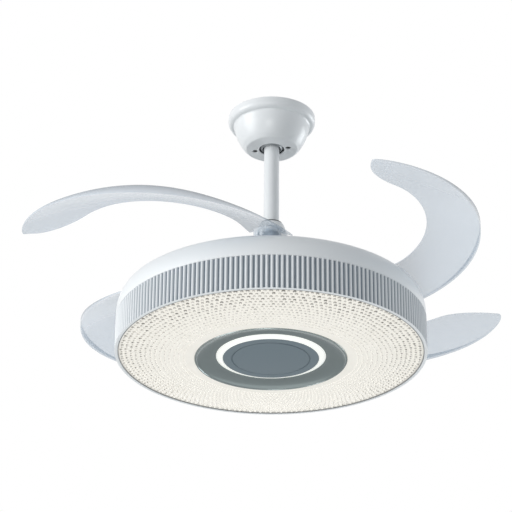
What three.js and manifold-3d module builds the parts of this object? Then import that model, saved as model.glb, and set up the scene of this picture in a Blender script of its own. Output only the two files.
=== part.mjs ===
// A ceiling fan with a round fluted lamp and four clear sickle blades that fold in over the lamp.
// Millimetres and degrees, +Z up. The origin is on the ceiling face, on the fan's axis.
// Four groups hold the pieces: the ceiling mount, the hanging drop, the turning rotor and the blades.

import * as THREE from 'three';
import { mergeVertices } from 'three/addons/utils/BufferGeometryUtils.js';
import Module from 'manifold-3d';

const wasm = await Module();
wasm.setup();

// ---------------------------------------------------------------- driving dimensions

const seatGap = 0.3; // between pieces that seat on or run in each other
const holeGap = 0.3; // around a pin, screw or bolt in its hole

// Ceiling mount
const canopyRadius = 73.2;
const canopyWaistRadius = 63.5; // where the taper starts under the lip
const canopyNeckRadius = 42; // flat bottom face of the canopy
const canopyHoleRadius = 21.4;
const canopyTop = 1.5; // shadow gap below the ceiling
const canopyHeight = 60.5;
const canopyLipHeight = 8.5; // straight part of the lip
const canopyLipRound = 8.5; // height of the rounding under it
const canopyWall = 1.6;
const bracketLength = 112;
const bracketWidth = 36;
const bracketSheet = 2.5;
const bracketSlotSpacing = 84; // the two ceiling screws
const bracketSlotWidth = 6;
const bracketSlotLength = 24;
const bracketLegSpan = 68; // over the outside of the two legs
const bracketSeatRadius = 37;
const bracketSeatAbove = 3.2; // seat's underside above the canopy's floor
const canopyScrewRadius = 2.4;
const canopyScrewHead = 3.4;
const canopyScrewCircle = 28.5;
const canopyScrewTurn = -12;
const terminalLength = 30;
const terminalDepth = 12;
const terminalHeight = 10;

// Hanger ball and rod
const rodRadius = 12.7;
const rodWall = 2;
const ballRadius = 25;
const ballCut = 19; // half height between the ball's two flats
const ballSink = 14.2; // ball's centre above the underside of its seat
const swingAngle = 8; // how far the drop can lean each way
const crossPinRadius = 3;
const crossPinLength = 44;
const rodAboveBall = 26;
const keyWidth = 4; // tongue on the seat that stops the ball turning
const keyClearance = 1;

// Lamp, measured from the plane of its lower rim
const rimDrop = 437; // ceiling face to the rim plane
const lampRadius = 250.5;
const bandHeight = 56.2;
const bandDrop = 3.5; // band's lower edge below the rim plane
const bandWall = 5;
const fluteCount = 200;
const fluteDepth = 2.4;
const deckSheet = 2;
const shoulderHeight = 36.2;
const shoulderWall = 2.5;
const shoulderReach = 14.8; // how far the shoulder curves in
const mouthLip = 4.5;
const trimHeight = 1.9;
const trimWidth = 1.4;
const lensThickness = 3;
const lensDome = 9.8; // depth of the lens below its edge
const bezelRadius = 122.5;
const bezelDrop = 12.5; // below the rim plane
const bezelRise = 7.1; // funnel's height
const bezelWall = 1.8;
const haloRadius = 88;
const haloRise = 4.1;
const haloWall = 2.2;
const discRadius = 77;
const discStepRadius = 61.6;
const discStep = 0.8;
const discThickness = 3;
const trayHeight = 22; // light tray above the rim plane
const traySheet = 1.6;
const trayHole = 40;
const ledRings = [[0.32, 10], [0.76, 14]]; // share of the way from bezel to band, and number of lights
const ledSize = 5;
const ledHeight = 1.4;
const driverLength = 110;
const driverWidth = 52;
const driverHeight = 26;
const driverRadius = 120; // its centre from the axis

// Shaft, coupling and bell
const shaftRadius = 9;
const shaftWall = 2.5;
const couplingRadius = 18;
const couplingLength = 52;
const couplingBottom = 152;
const rodBottom = 178;
const couplingPinRadius = 2.5;
const couplingPinHeight = 192;
const bellTop = 238;
const bellBottom = 151.5;
const bellBottomRadius = 62;
const bellNeckRadius = 19.2;
const bellWall = 1.6;
const flangeRadius = 45;
const flangeSheet = 4;
const flangeHubRadius = 20;
const flangeHubHeight = 11;
const lockNutRadius = 17;
const lockNutHeight = 7;

// Rotor
const carrierHeight = 72; // carrier's underside above the rim plane
const carrierSheet = 4;
const carrierMargin = 11.7; // between the carrier's edge and the shoulder's mouth
const carrierHole = 26;
const carrierWindows = 4;
const carrierWindowRadius = 24;
const housingRadius = 112.7;
const housingSheet = 2.6;
const housingSplit = 110; // height of the joint between the two housing shells
const housingTop = 147;
const housingShoulderWidth = 5.3;
const bearingRadius = 21.2;
const bearingHeight = 10;
const bearingWall = 2.8;
const airGap = 1.5; // between the magnets and the poles
const statorBottom = 96;
const statorTop = 124;
const statorPoles = 12;
const statorSlotDepth = 34;
const windingHeight = 7;
const magnetThickness = 8;

// Blades, their pivots and the ring that keeps them together
const bladeCount = 4;
const pivotInset = 24; // from the carrier's edge in to the pivots
const foldAngle = 64;
const gearHeight = 86; // underside of the gears above the rim plane
const gearFace = 6;
const toothModule = 2;
const bladeGearTeeth = 24;
const backlash = 0.8;
const gearHubRadius = 13;
const pivotRadius = 6;
const bossRadius = 15.7;
const bossTop = 121;
const bossPocket = 8; // depth of the pocket that the washer and nut sit in
const washerRadius = 12;
const washerSheet = 1.5;
const nutRadius = 9.5;
const nutHeight = 6;
const boltHeadHeight = 4;
const stopPostRadius = 2.5;
const stopPostCircle = 20;
const springRadius = 9.6;
const springWire = 1.6;
const springTurns = 3;

// Blade plan: a sickle about its own centre, from the root angle down to the tip angle
const sickleOffset = [-127, -162.5]; // the sickle's centre from the pivot
const sickleRootAngle = 53;
const sickleTipAngle = -71.5;
const sickleInnerRadius = 169.5;
const sickleOuterRadius = 243.5;
const sickleTipRadius = 238;
const sickleBulge = 14;
const sickleBulgeAngle = -42;
const sickleBulgeSpread = 52.5;
const rootFlare = 8; // how far the inner edge swings in at the root
const rootFlareSpread = 11;
const innerRoundAngle = -47.5; // where the inner edge starts to round into the tip
const outerRoundAngle = -38.5;
// Blade height above the rim plane, twist, camber and thickness
const bladeRootHeight = 100;
const bladeTipHeight = 138;
const bladeTwistRise = 29; // inner edge above outer edge at the root
const bladeTipRise = 2;
const twistPower = 5;
const camberPower = 1.6;
const bladeEdge = 1.6;
const bladeMiddle = 3.2;
// Up-turned lip along the blade's outer edge, and the foot that carries its inner root corner
const lipHeight = 11.5;
const lipLeast = 0.6;
const lipAngle = -4.5;
const lipSpread = 30;
const lipWall = 1.6;
const footOffset = [-18, -16]; // the foot's centre from the pivot
const footRadius = 12;

// Facets
const wideSteps = 48; // round the lamp
const roundSteps = 32;
const smallSteps = 20;
const holeSteps = 12;
const bladeStations = 17;
const bladeStrips = 4;

// ---------------------------------------------------------------- places worked out from them

const rad = Math.PI / 180;
const halfTurn = 180;
const cutPast = 30; // how far an upward cut runs past the face that it opens
const canopyFloor = -canopyTop - canopyHeight;
const seatBottom = canopyFloor + bracketSeatAbove + canopyWall;
const seatTop = seatBottom + bracketSheet;
const ballCentre = seatBottom + ballSink;
const seatDepth = ballCentre - seatTop;
const seatHoleRadius = Math.sqrt(ballRadius ** 2 - seatDepth ** 2) + seatGap;
const bandInner = lampRadius - bandWall;
const bandTop = bandHeight - bandDrop;
const lensEdge = -bandDrop + trimHeight + 2 * seatGap;
const deckBottom = bandTop + seatGap;
const deckTop = deckBottom + deckSheet;
const shoulderBottom = deckTop + seatGap;
const shoulderTop = shoulderBottom + shoulderHeight;
const mouthRadius = lampRadius - shoulderReach;
const carrierRadius = mouthRadius - carrierMargin;
const pivotCircle = carrierRadius - pivotInset;
const carrierWindowCircle = (housingRadius + housingShoulderWidth + carrierRadius) / 2;
const magnetInner = housingRadius - housingSheet - seatGap - magnetThickness;
const statorRadius = magnetInner - airGap;
const carrierTop = carrierHeight + carrierSheet;
const housingBottom = carrierTop + seatGap;
const gearTop = gearHeight + gearFace;
const gearRadius = (toothModule * bladeGearTeeth) / 2;
const ringRadius = pivotCircle - gearRadius;
const ringTeeth = Math.round((2 * ringRadius) / toothModule);
const bossBottom = gearTop + seatGap;
const pocketFloor = bossTop - bossPocket;
const nutBottom = pocketFloor + 2 * seatGap + washerSheet;
const rodTop = ballCentre + rodAboveBall;

// ---------------------------------------------------------------- geometry helpers

const v2 = (x, y) => new THREE.Vector2(x, y);

/** Closed indexed solid with merged corners, no empty triangles, and its faces pointing out. */
function tidySolid(source) {
  const bare = new THREE.BufferGeometry();
  bare.setAttribute('position', source.getAttribute('position'));
  if (source.index) bare.setIndex(source.index);
  const merged = mergeVertices(bare, 1e-4);
  const place = merged.getAttribute('position');
  const index = Array.from(merged.index.array);
  const kept = [];
  let volume = 0;
  const [a, b, c] = [new THREE.Vector3(), new THREE.Vector3(), new THREE.Vector3()];
  for (let i = 0; i < index.length; i += 3) {
    const [i0, i1, i2] = index.slice(i, i + 3);
    if (i0 === i1 || i1 === i2 || i2 === i0) continue;
    kept.push(i0, i1, i2);
    a.fromBufferAttribute(place, i0);
    b.fromBufferAttribute(place, i1);
    c.fromBufferAttribute(place, i2);
    volume += a.dot(b.cross(c));
  }
  if (volume < 0) {
    for (let i = 0; i < kept.length; i += 3) [kept[i + 1], kept[i + 2]] = [kept[i + 2], kept[i + 1]];
  }
  merged.setIndex(kept);
  return merged;
}

/** Solid turned about Z from [radius, height] points that close on themselves or on the axis. */
function turned(points, steps = roundSteps) {
  const closed = points[0][0] > 0 || points[points.length - 1][0] > 0;
  const loop = closed ? [...points, points[0]] : points;
  const lathe = new THREE.LatheGeometry(loop.map(([r, z]) => v2(r, z)), steps);
  return tidySolid(lathe.rotateX(Math.PI / 2));
}

/** Turned solid of a plain ring or tube. */
const ring = (inner, outer, bottom, top, steps = roundSteps) =>
  turned([[inner, bottom], [outer, bottom], [outer, top], [inner, top]], steps);

/** Turned solid of a round bar. */
const bar = (radius, bottom, top, steps = smallSteps) =>
  turned([[0, bottom], [radius, bottom], [radius, top], [0, top]], steps);

/** Round bar that cuts a hole whose flats keep the stated radius. */
const drill = (radius, bottom, top, steps = holeSteps) => bar(outside(radius, steps), bottom, top, steps);

/** Closed wall profile: the outline given, and the same outline moved in by the wall. */
function skinned(outline, wall) {
  const inner = outline.map(([r, z], i) => {
    const before = outline[Math.max(i - 1, 0)];
    const after = outline[Math.min(i + 1, outline.length - 1)];
    const run = v2(after[0] - before[0], after[1] - before[1]).normalize();
    return [r - wall * run.y, z + wall * run.x];
  });
  return [...outline, ...inner.reverse()];
}

/** Points of a smooth curve through a few [radius, height] points. */
const smooth = (points, steps) =>
  new THREE.SplineCurve(points.map(([r, z]) => v2(r, z))).getPoints(steps).map((p) => [p.x, p.y]);

/** Upright extrusion of a flat shape between two heights. */
function plate(shape, bottom, top) {
  const geometry = new THREE.ExtrudeGeometry(shape, { depth: top - bottom, bevelEnabled: false });
  return tidySolid(geometry.translate(0, 0, bottom));
}

/** Box by its lowest and highest corners. */
function block(low, high) {
  const size = high.map((value, i) => value - low[i]);
  const geometry = new THREE.BoxGeometry(...size);
  return tidySolid(geometry.translate(...low.map((value, i) => value + size[i] / 2)));
}

/** Corners of a round outline. */
const circle = (x, y, radius, steps) =>
  Array.from({ length: steps }, (_, i) => polar(radius, (360 * i) / steps).add(v2(x, y)));

/** Radius of the corners of a hole whose flats keep the stated radius. */
const outside = (radius, steps) => radius / Math.cos(Math.PI / steps);

const circleHole = (x, y, radius, steps = holeSteps) =>
  new THREE.Path(circle(x, y, outside(radius, steps), steps).reverse());

const disc = (radius, steps = wideSteps) => new THREE.Shape(circle(0, 0, radius, steps));

/** Six-sided nut or bolt head. */
function hexagon(radius, hole = 0) {
  const corners = Array.from({ length: 6 }, (_, i) => polar(radius, 60 * i));
  const shape = new THREE.Shape(corners);
  if (hole > 0) shape.holes.push(circleHole(0, 0, hole));
  return shape;
}

const polar = (radius, degrees) => v2(radius * Math.cos(degrees * rad), radius * Math.sin(degrees * rad));

function toManifold(geometry) {
  return new wasm.Manifold(new wasm.Mesh({
    numProp: 3,
    vertProperties: Float32Array.from(geometry.getAttribute('position').array),
    triVerts: Uint32Array.from(geometry.index.array),
  }));
}

/** Joins the first list of solids and cuts the second list out of them. */
function carve(solids, cuts = []) {
  let body = toManifold(solids[0]);
  for (const solid of solids.slice(1)) body = body.add(toManifold(solid));
  for (const cut of cuts) body = body.subtract(toManifold(cut));
  return fromManifold(body);
}

/** The part of one solid that lies inside another. */
const clipped = (solid, keep) => fromManifold(toManifold(solid).intersect(toManifold(keep)));

function fromManifold(body) {
  const mesh = body.getMesh();
  const geometry = new THREE.BufferGeometry();
  geometry.setAttribute('position', new THREE.BufferAttribute(Float32Array.from(mesh.vertProperties), 3));
  geometry.setIndex(Array.from(mesh.triVerts));
  return geometry;
}

/** Lays an upright solid along X or Y at a height. */
function laid(solid, axis, height) {
  if (axis === 'x') solid.rotateY(Math.PI / 2);
  else solid.rotateX(Math.PI / 2);
  return tidySolid(solid.translate(0, 0, height));
}

const crossBar = (axis, radius, length, height) =>
  laid(bar(radius, -length / 2, length / 2, holeSteps), axis, height);

const crossHole = (axis, radius, length, height) =>
  laid(drill(radius + holeGap, -length / 2, length / 2), axis, height);

// ---------------------------------------------------------------- materials

const finish = (color, roughness, metalness, extra = {}) =>
  new THREE.MeshStandardMaterial({ color, roughness, metalness, ...extra });

const enamel = finish(0xeef1f3, 0.36, 0);
const steel = finish(0x9aa0a4, 0.4, 0.85);
const darkSteel = finish(0x3c4044, 0.45, 0.7);
const silverPaint = finish(0xd4d8dc, 0.35, 0.4);
const greyPlastic = finish(0x9ea2a5, 0.5, 0);
const clearBlade = finish(0xcdd4dc, 0.08, 0, { transparent: true, opacity: 0.5 });
const lensWhite = finish(0xf0ece4, 0.3, 0);
const haloWhite = finish(0xfdfffa, 0.5, 0);
const bezelGrey = finish(0x8f9a98, 0.35, 0.6);
const discGrey = finish(0x6b767b, 0.45, 0.3);
const whiteBoard = finish(0xeeeeea, 0.6, 0);
const nylon = finish(0xe2e0d8, 0.5, 0);
const copper = finish(0xb06a3a, 0.4, 0.8);
const laminate = finish(0x6f7276, 0.5, 0.7);

// ---------------------------------------------------------------- ceiling mount

/** Cup with a rounded lip at the ceiling, tapered to a flat bottom face. */
function canopyShape() {
  const lipEnd = -canopyTop - canopyLipHeight;
  const waist = lipEnd - canopyLipRound - 1.5;
  const reach = canopyWaistRadius - canopyNeckRadius;
  const fall = waist - canopyFloor;
  const taper = smooth([
    [canopyWaistRadius, waist],
    [canopyWaistRadius - 0.21 * reach, waist - 0.4 * fall],
    [canopyWaistRadius - 0.6 * reach, waist - 0.79 * fall],
    [canopyNeckRadius + 0.1 * reach, canopyFloor + 1.5],
  ], 5);
  const roundSteps = 3;
  const lip = Array.from({ length: roundSteps + 1 }, (_, i) => {
    const angle = (90 * rad * i) / roundSteps;
    const ledge = canopyWaistRadius + 1.5;
    return [ledge + (canopyRadius - ledge) * Math.cos(angle), lipEnd - canopyLipRound * Math.sin(angle)];
  });
  const outline = [[canopyHoleRadius, canopyFloor], [canopyNeckRadius, canopyFloor], ...taper.reverse(),
    ...lip.reverse(), [canopyRadius, -canopyTop]];
  const cup = turned(skinned(outline, canopyWall));
  return carve([cup], screwPlaces().map((at) => screwHole(at, canopyFloor - 1, canopyFloor + 4)));
}

const screwPlaces = () =>
  [canopyScrewTurn, canopyScrewTurn + halfTurn].map((turn) => polar(canopyScrewCircle, turn));

const screwHole = (at, bottom, top) =>
  tidySolid(drill(canopyScrewRadius + holeGap, bottom, top).translate(at.x, at.y, 0));

/** Strap bent down into two legs that carry the round seat of the ball. */
function bracketShape() {
  const half = bracketLength / 2;
  const top = new THREE.Shape([v2(-half, -bracketWidth / 2), v2(half, -bracketWidth / 2),
    v2(half, bracketWidth / 2), v2(-half, bracketWidth / 2)]);
  for (const side of [-1, 1]) {
    const centre = (side * bracketSlotSpacing) / 2;
    const straight = (bracketSlotLength - bracketSlotWidth) / 2;
    const ends = circle(0, 0, bracketSlotWidth / 2, holeSteps)
      .map((p) => v2(centre + p.x, p.y + Math.sign(p.y + 1e-6) * straight));
    top.holes.push(new THREE.Path(ends.reverse()));
  }
  const legOut = bracketLegSpan / 2;
  const legIn = legOut - bracketSheet;
  const legWidth = bracketWidth * 0.8;
  const legs = [-1, 1].map((side) => block(
    [Math.min(side * legIn, side * legOut), -legWidth / 2, seatBottom + 0.5],
    [Math.max(side * legIn, side * legOut), legWidth / 2, -0.5],
  ));
  const seat = plate(disc(bracketSeatRadius, roundSteps), seatBottom, seatTop);
  const keyIn = keyRadius();
  const key = block([-keyWidth / 2, keyIn, seatBottom], [keyWidth / 2, seatHoleRadius + 4, seatTop + 2]);
  const hole = drill(seatHoleRadius, seatBottom - 1, seatTop + 1, roundSteps);
  const entry = block([-(rodRadius + 1.8), -bracketSeatRadius - 1, seatBottom - 1],
    [rodRadius + 1.8, 0, seatTop + 1]);
  const screws = screwPlaces().map((at) => screwHole(at, seatBottom - 1, seatTop + 1));
  const seated = carve([seat], [hole, entry, ...screws]);
  return carve([plate(top, -bracketSheet, 0), ...legs, seated, key]);
}

/** Inner face of the seat's key: clear of the ball's keyway while the ball leans. */
const keyRadius = () => keywayRadius() * Math.cos(swingAngle * rad)
  + (ballCentre - seatBottom) * Math.sin(swingAngle * rad) + keyClearance;

const keywayRadius = () => ballBoreEnd() + 1.2;

function canopyScrewShape() {
  const under = canopyFloor - seatGap;
  return turned([[0, under - 1.7], [canopyScrewHead * 0.7, under - 1.7], [canopyScrewHead, under - 0.8],
    [canopyScrewHead, under], [canopyScrewRadius, under], [canopyScrewRadius, seatTop + 3],
    [0, seatTop + 3]], holeSteps);
}

// ---------------------------------------------------------------- hanger ball and rod

const ballBoreEnd = () =>
  rodRadius / Math.cos(swingAngle * rad) + ballCut * Math.tan(swingAngle * rad) + seatGap;

/** Ball with two flats, a bore that lets the rod lean, a pin hole and a keyway. */
function ballShape() {
  const edge = Math.asin(ballCut / ballRadius);
  const steps = 7;
  const face = Array.from({ length: steps + 1 }, (_, i) => {
    const angle = -edge + (2 * edge * i) / steps;
    return [ballRadius * Math.cos(angle), ballRadius * Math.sin(angle)];
  });
  const waist = rodRadius / Math.cos(swingAngle * rad) + seatGap;
  const ball = turned([...face, [ballBoreEnd(), ballCut], [waist, 0], [ballBoreEnd(), -ballCut]], 24);
  const pinHole = crossHole('y', crossPinRadius, 3 * ballRadius, 0);
  const keyway = block([-(keyWidth / 2 + keyClearance), keywayRadius(), -ballRadius],
    [keyWidth / 2 + keyClearance, ballRadius + 1, -seatDepth + 10]);
  return carve([ball], [pinHole, keyway]);
}

/** Tube from above the ball down into the coupling, drilled for both cross pins. */
function rodShape(bottom, top, upperPin, lowerPin) {
  return carve([ring(rodRadius - rodWall, rodRadius, bottom, top, 24)], [
    crossHole('y', crossPinRadius, 3 * rodRadius, upperPin),
    crossHole('x', couplingPinRadius, 3 * rodRadius, lowerPin),
  ]);
}

// ---------------------------------------------------------------- lamp

/** Side band with fine upright flutes. */
function bandShape() {
  const corners = [];
  for (let i = 0; i < fluteCount; i += 1) {
    const pitch = 360 / fluteCount;
    corners.push(polar(lampRadius, pitch * i), polar(lampRadius - fluteDepth, pitch * (i + 0.5)));
  }
  const shape = new THREE.Shape(corners);
  shape.holes.push(circleHole(0, 0, bandInner, wideSteps));
  return plate(shape, -bandDrop, bandTop);
}

/** Rounded shoulder from the band in to the mouth that the blades fold over. */
function shoulderShape() {
  const reach = shoulderReach;
  const outline = [[lampRadius - 0.5, shoulderBottom]];
  const steps = 4;
  const straight = shoulderHeight * 0.15;
  for (let i = 0; i <= steps; i += 1) {
    const angle = (90 * rad * i) / steps;
    outline.push([mouthRadius + (reach - 0.5) * Math.cos(angle),
      shoulderBottom + straight + (shoulderHeight - straight) * Math.sin(angle)]);
  }
  outline.push([mouthRadius - mouthLip, shoulderTop]);
  return turned(skinned(outline, shoulderWall), wideSteps);
}

/** Height of the lens's lower face at a radius. */
function lensFace(radius) {
  const edge = bandInner - seatGap;
  const share = (radius - bezelRadius) / (edge - bezelRadius);
  return lensEdge - lensDome * (1 - share ** 2);
}

function lensShape() {
  const inner = bezelRadius + seatGap;
  const outer = bandInner - seatGap;
  const steps = 4;
  const lower = Array.from({ length: steps + 1 }, (_, i) => {
    const radius = inner + ((outer - inner) * i) / steps;
    return [radius, lensFace(radius)];
  });
  const upper = lower.map(([r, z]) => [r, z + lensThickness]).reverse();
  return turned([...lower, ...upper], wideSteps);
}

/** Thin dark ring inside the band's lower edge, which holds the edge of the lens. */
const trimShape = () => ring(bandInner - seatGap - trimWidth, bandInner - seatGap,
  -bandDrop, -bandDrop + trimHeight, wideSteps);

/** Funnel round the light ring. */
function bezelShape() {
  const floor = -bezelDrop;
  const inner = haloRadius + seatGap;
  return turned([[bezelRadius - 1.5, floor], [bezelRadius, floor + 1], [bezelRadius, floor + 5],
    [bezelRadius - bezelWall, floor + 5], [bezelRadius - bezelWall - 1, floor + 2.4],
    [inner, floor + bezelRise + bezelWall], [inner, floor + bezelRise]]);
}

function haloShape() {
  const top = -bezelDrop + bezelRise;
  const inner = discRadius + seatGap;
  return turned([[haloRadius, top], [haloRadius, top + haloWall], [haloRadius - 3, top + haloWall],
    [inner, top - haloRise + haloWall], [inner, top - haloRise]]);
}

function centreDiscShape() {
  const face = -bezelDrop + bezelRise - haloRise - 0.1;
  return turned([[0, face - discStep / 2], [discStepRadius - 0.6, face - discStep / 2],
    [discStepRadius, face + discStep], [discStepRadius + 1, face + discStep], [discStepRadius + 1.6, face],
    [discRadius - 0.8, face], [discRadius, face + 0.8], [discRadius, face + discThickness],
    [0, face + discThickness]]);
}

/** Tray that carries the rings of lights over the lens. */
function trayShape() {
  const sheet = disc(bandInner - seatGap);
  sheet.holes.push(circleHole(0, 0, trayHole, smallSteps));
  const lights = [];
  for (const [share, count] of ledRings) {
    const radius = bezelRadius + (bandInner - bezelRadius) * share;
    for (let i = 0; i < count; i += 1) {
      const light = block([radius - ledSize / 2, -ledSize / 2, trayHeight - ledHeight],
        [radius + ledSize / 2, ledSize / 2, trayHeight + traySheet / 2]);
      lights.push(tidySolid(light.rotateZ((2 * Math.PI * i) / count)));
    }
  }
  return carve([plate(sheet, trayHeight, trayHeight + traySheet), ...lights]);
}

function driverShape() {
  const bottom = trayHeight + traySheet + seatGap;
  return block([driverRadius - driverWidth / 2, -driverLength / 2, bottom],
    [driverRadius + driverWidth / 2, driverLength / 2, bottom + driverHeight]);
}

// ---------------------------------------------------------------- shaft, coupling and bell

const shaftTop = rodBottom - seatGap - 2.2;
const flangeBottom = deckTop + seatGap;
const lockNutTop = deckBottom - seatGap;
const shaftBottom = lockNutTop - lockNutHeight - 1.5;

function couplingShape() {
  const step = rodBottom - seatGap;
  const bottom = couplingBottom;
  const top = bottom + couplingLength;
  const body = turned([[shaftRadius + seatGap, bottom], [couplingRadius, bottom], [couplingRadius, top],
    [rodRadius + seatGap, top], [rodRadius + seatGap, step], [shaftRadius + seatGap, step]], 24);
  return carve([body], [crossHole('x', couplingPinRadius, 3 * couplingRadius, couplingPinHeight)]);
}

/** Cone that hides the coupling, from the rod out over the motor. */
function bellShape() {
  const height = bellTop - bellBottom;
  const outline = [[bellBottomRadius, bellBottom], ...smooth([
    [bellBottomRadius - 2, bellBottom + 0.025 * height],
    [bellBottomRadius * 0.77, bellBottom + 0.13 * height],
    [bellBottomRadius * 0.58, bellBottom + 0.38 * height],
    [bellNeckRadius + 8.2, bellTop - 28],
    [bellNeckRadius, bellTop - 3],
  ], 6), [bellNeckRadius - 1.7, bellTop - 0.8], [rodRadius + seatGap + bellWall * 0.4, bellTop]];
  return turned(skinned(outline, bellWall), 32);
}

function flangeShape() {
  const bore = shaftRadius + seatGap;
  const hubTop = flangeBottom + flangeHubHeight;
  return turned([[bore, flangeBottom], [flangeRadius, flangeBottom],
    [flangeRadius, flangeBottom + flangeSheet],
    [flangeHubRadius, flangeBottom + flangeSheet], [flangeHubRadius, hubTop], [bore, hubTop]], 24);
}

function deckShape() {
  const sheet = disc(lampRadius - fluteDepth - seatGap);
  sheet.holes.push(circleHole(0, 0, shaftRadius + seatGap));
  return plate(sheet, deckBottom, deckTop);
}

// ---------------------------------------------------------------- motor

/** Laminated core with open slots between its poles. */
function statorShape() {
  const pitch = 360 / statorPoles;
  const slotHalf = pitch * 0.16;
  const corners = [];
  for (let i = 0; i < statorPoles; i += 1) {
    const middle = pitch * i;
    const edges = [middle - pitch / 2 + slotHalf, middle, middle + pitch / 2 - slotHalf];
    for (const angle of edges) corners.push(polar(statorRadius, angle));
    corners.push(polar(statorRadius - statorSlotDepth, edges[2]));
    corners.push(polar(statorRadius - statorSlotDepth, edges[2] + 2 * slotHalf));
  }
  const shape = new THREE.Shape(corners);
  shape.holes.push(circleHole(0, 0, shaftRadius + seatGap));
  return plate(shape, statorBottom, statorTop);
}

function windingShape() {
  const inner = statorRadius - statorSlotDepth + 3;
  const outer = statorRadius - 5;
  const bottom = statorTop + seatGap;
  return turned([[inner, bottom], [outer, bottom], [outer - 2, bottom + windingHeight],
    [inner + 2, bottom + windingHeight]], 24);
}

const bearingOver = (bottom) =>
  ring(shaftRadius + seatGap, bearingRadius, bottom, bottom + bearingHeight, smallSteps);

const pocketRadius = bearingRadius + seatGap;
const lowerBearing = housingBottom + housingSheet + seatGap;
const upperBearing = housingTop - housingSheet - seatGap - bearingHeight;
const bearingLip = shaftRadius + 4;

/** Lower half of the motor housing: bearing pocket, floor, shoulder for the ring gear and wall. */
function lowerHousingShape() {
  const floor = housingBottom + housingSheet;
  const inside = housingRadius - housingSheet;
  const shoulder = housingRadius + housingShoulderWidth;
  return turned([[bearingLip, housingBottom], [shoulder, housingBottom], [shoulder, gearHeight - seatGap],
    [housingRadius, gearHeight - seatGap], [housingRadius, housingSplit], [inside, housingSplit],
    [inside, floor], [pocketRadius + bearingWall, floor],
    [pocketRadius + bearingWall, lowerBearing + bearingHeight], [pocketRadius, lowerBearing + bearingHeight],
    [pocketRadius, floor], [bearingLip, floor]]);
}

function upperHousingShape() {
  const bottom = housingSplit + seatGap;
  const inside = housingRadius - housingSheet;
  const ceiling = housingTop - housingSheet;
  const bevel = (housingTop - bottom) * 0.45;
  return turned([[inside, bottom], [housingRadius, bottom], [housingRadius, housingTop - bevel],
    [housingRadius - bevel * 0.7, housingTop - bevel * 0.25], [housingRadius - bevel * 1.8, housingTop],
    [bearingLip, housingTop], [bearingLip, ceiling], [pocketRadius, ceiling], [pocketRadius, upperBearing],
    [pocketRadius + bearingWall, upperBearing], [pocketRadius + bearingWall, ceiling],
    [housingRadius - bevel * 1.8, ceiling],
    [housingRadius - bevel * 0.7 - housingSheet * 0.7, housingTop - bevel * 0.25 - housingSheet],
    [inside, housingTop - bevel - housingSheet * 0.5]]);
}

const magnetShape = () =>
  ring(magnetInner, magnetInner + magnetThickness, statorBottom, housingSplit - seatGap);

// ---------------------------------------------------------------- carrier, pivots, gears

const pivots = Array.from({ length: bladeCount }, (_, i) => (360 / bladeCount) * i);

/** Sector of the blade gear: its teeth run from one pitch before the mesh to one past the fold. */
const toothPitch = 360 / bladeGearTeeth;
const sectorTeeth = Math.ceil(foldAngle / toothPitch) + 2;
const sectorStart = halfTurn - 1.5 * toothPitch;
const sectorEnd = sectorStart + sectorTeeth * toothPitch;
const stopTurn = ((stopPostRadius + seatGap) / stopPostCircle) / rad;

/** Round sheet that turns with the motor, with a bolt hole and two stop posts at each pivot. */
function carrierShape() {
  const sheet = disc(carrierRadius);
  sheet.holes.push(circleHole(0, 0, carrierHole, smallSteps));
  for (let i = 0; i < carrierWindows; i += 1) {
    const at = polar(carrierWindowCircle, (360 / carrierWindows) * (i + 0.5));
    sheet.holes.push(circleHole(at.x, at.y, carrierWindowRadius));
  }
  const posts = [];
  for (const turn of pivots) {
    const at = polar(pivotCircle, turn);
    sheet.holes.push(circleHole(at.x, at.y, pivotRadius + holeGap));
    for (const angle of [sectorEnd + stopTurn, sectorStart - foldAngle - stopTurn]) {
      const post = polar(stopPostCircle, turn + angle).add(at);
      posts.push(tidySolid(bar(stopPostRadius, carrierTop - 1, gearTop, 8).translate(post.x, post.y, 0)));
    }
  }
  return carve([plate(sheet, carrierHeight, carrierTop), ...posts]);
}

/** Corners of one gear tooth, from its root before to its root after. */
function toothCorners(pitchRadius, angle) {
  const root = pitchRadius - 1.2 * toothModule;
  const tip = pitchRadius + 0.85 * toothModule;
  const flank = Math.tan(22 * rad);
  const half = (Math.PI * toothModule) / 4 - backlash / 2;
  const wide = ((half + 1.2 * toothModule * flank) / root) / rad;
  const narrow = ((half - 0.85 * toothModule * flank) / tip) / rad;
  return [polar(root, angle - wide), polar(tip, angle - narrow), polar(tip, angle + narrow),
    polar(root, angle + wide)];
}

/** Toothed sector with a round hub, about its own pivot. */
function bladeGearShape() {
  const corners = [];
  for (let i = 0; i < sectorTeeth; i += 1) {
    corners.push(...toothCorners(gearRadius, sectorStart + toothPitch * (i + 0.5)));
  }
  const hubSteps = 8;
  for (let i = 0; i <= hubSteps; i += 1) {
    corners.push(polar(gearHubRadius, sectorEnd + 4 + ((360 - sectorTeeth * toothPitch - 8) * i) / hubSteps));
  }
  const shape = new THREE.Shape(corners);
  shape.holes.push(circleHole(0, 0, pivotRadius + holeGap));
  return plate(shape, gearHeight, gearTop);
}

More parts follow.
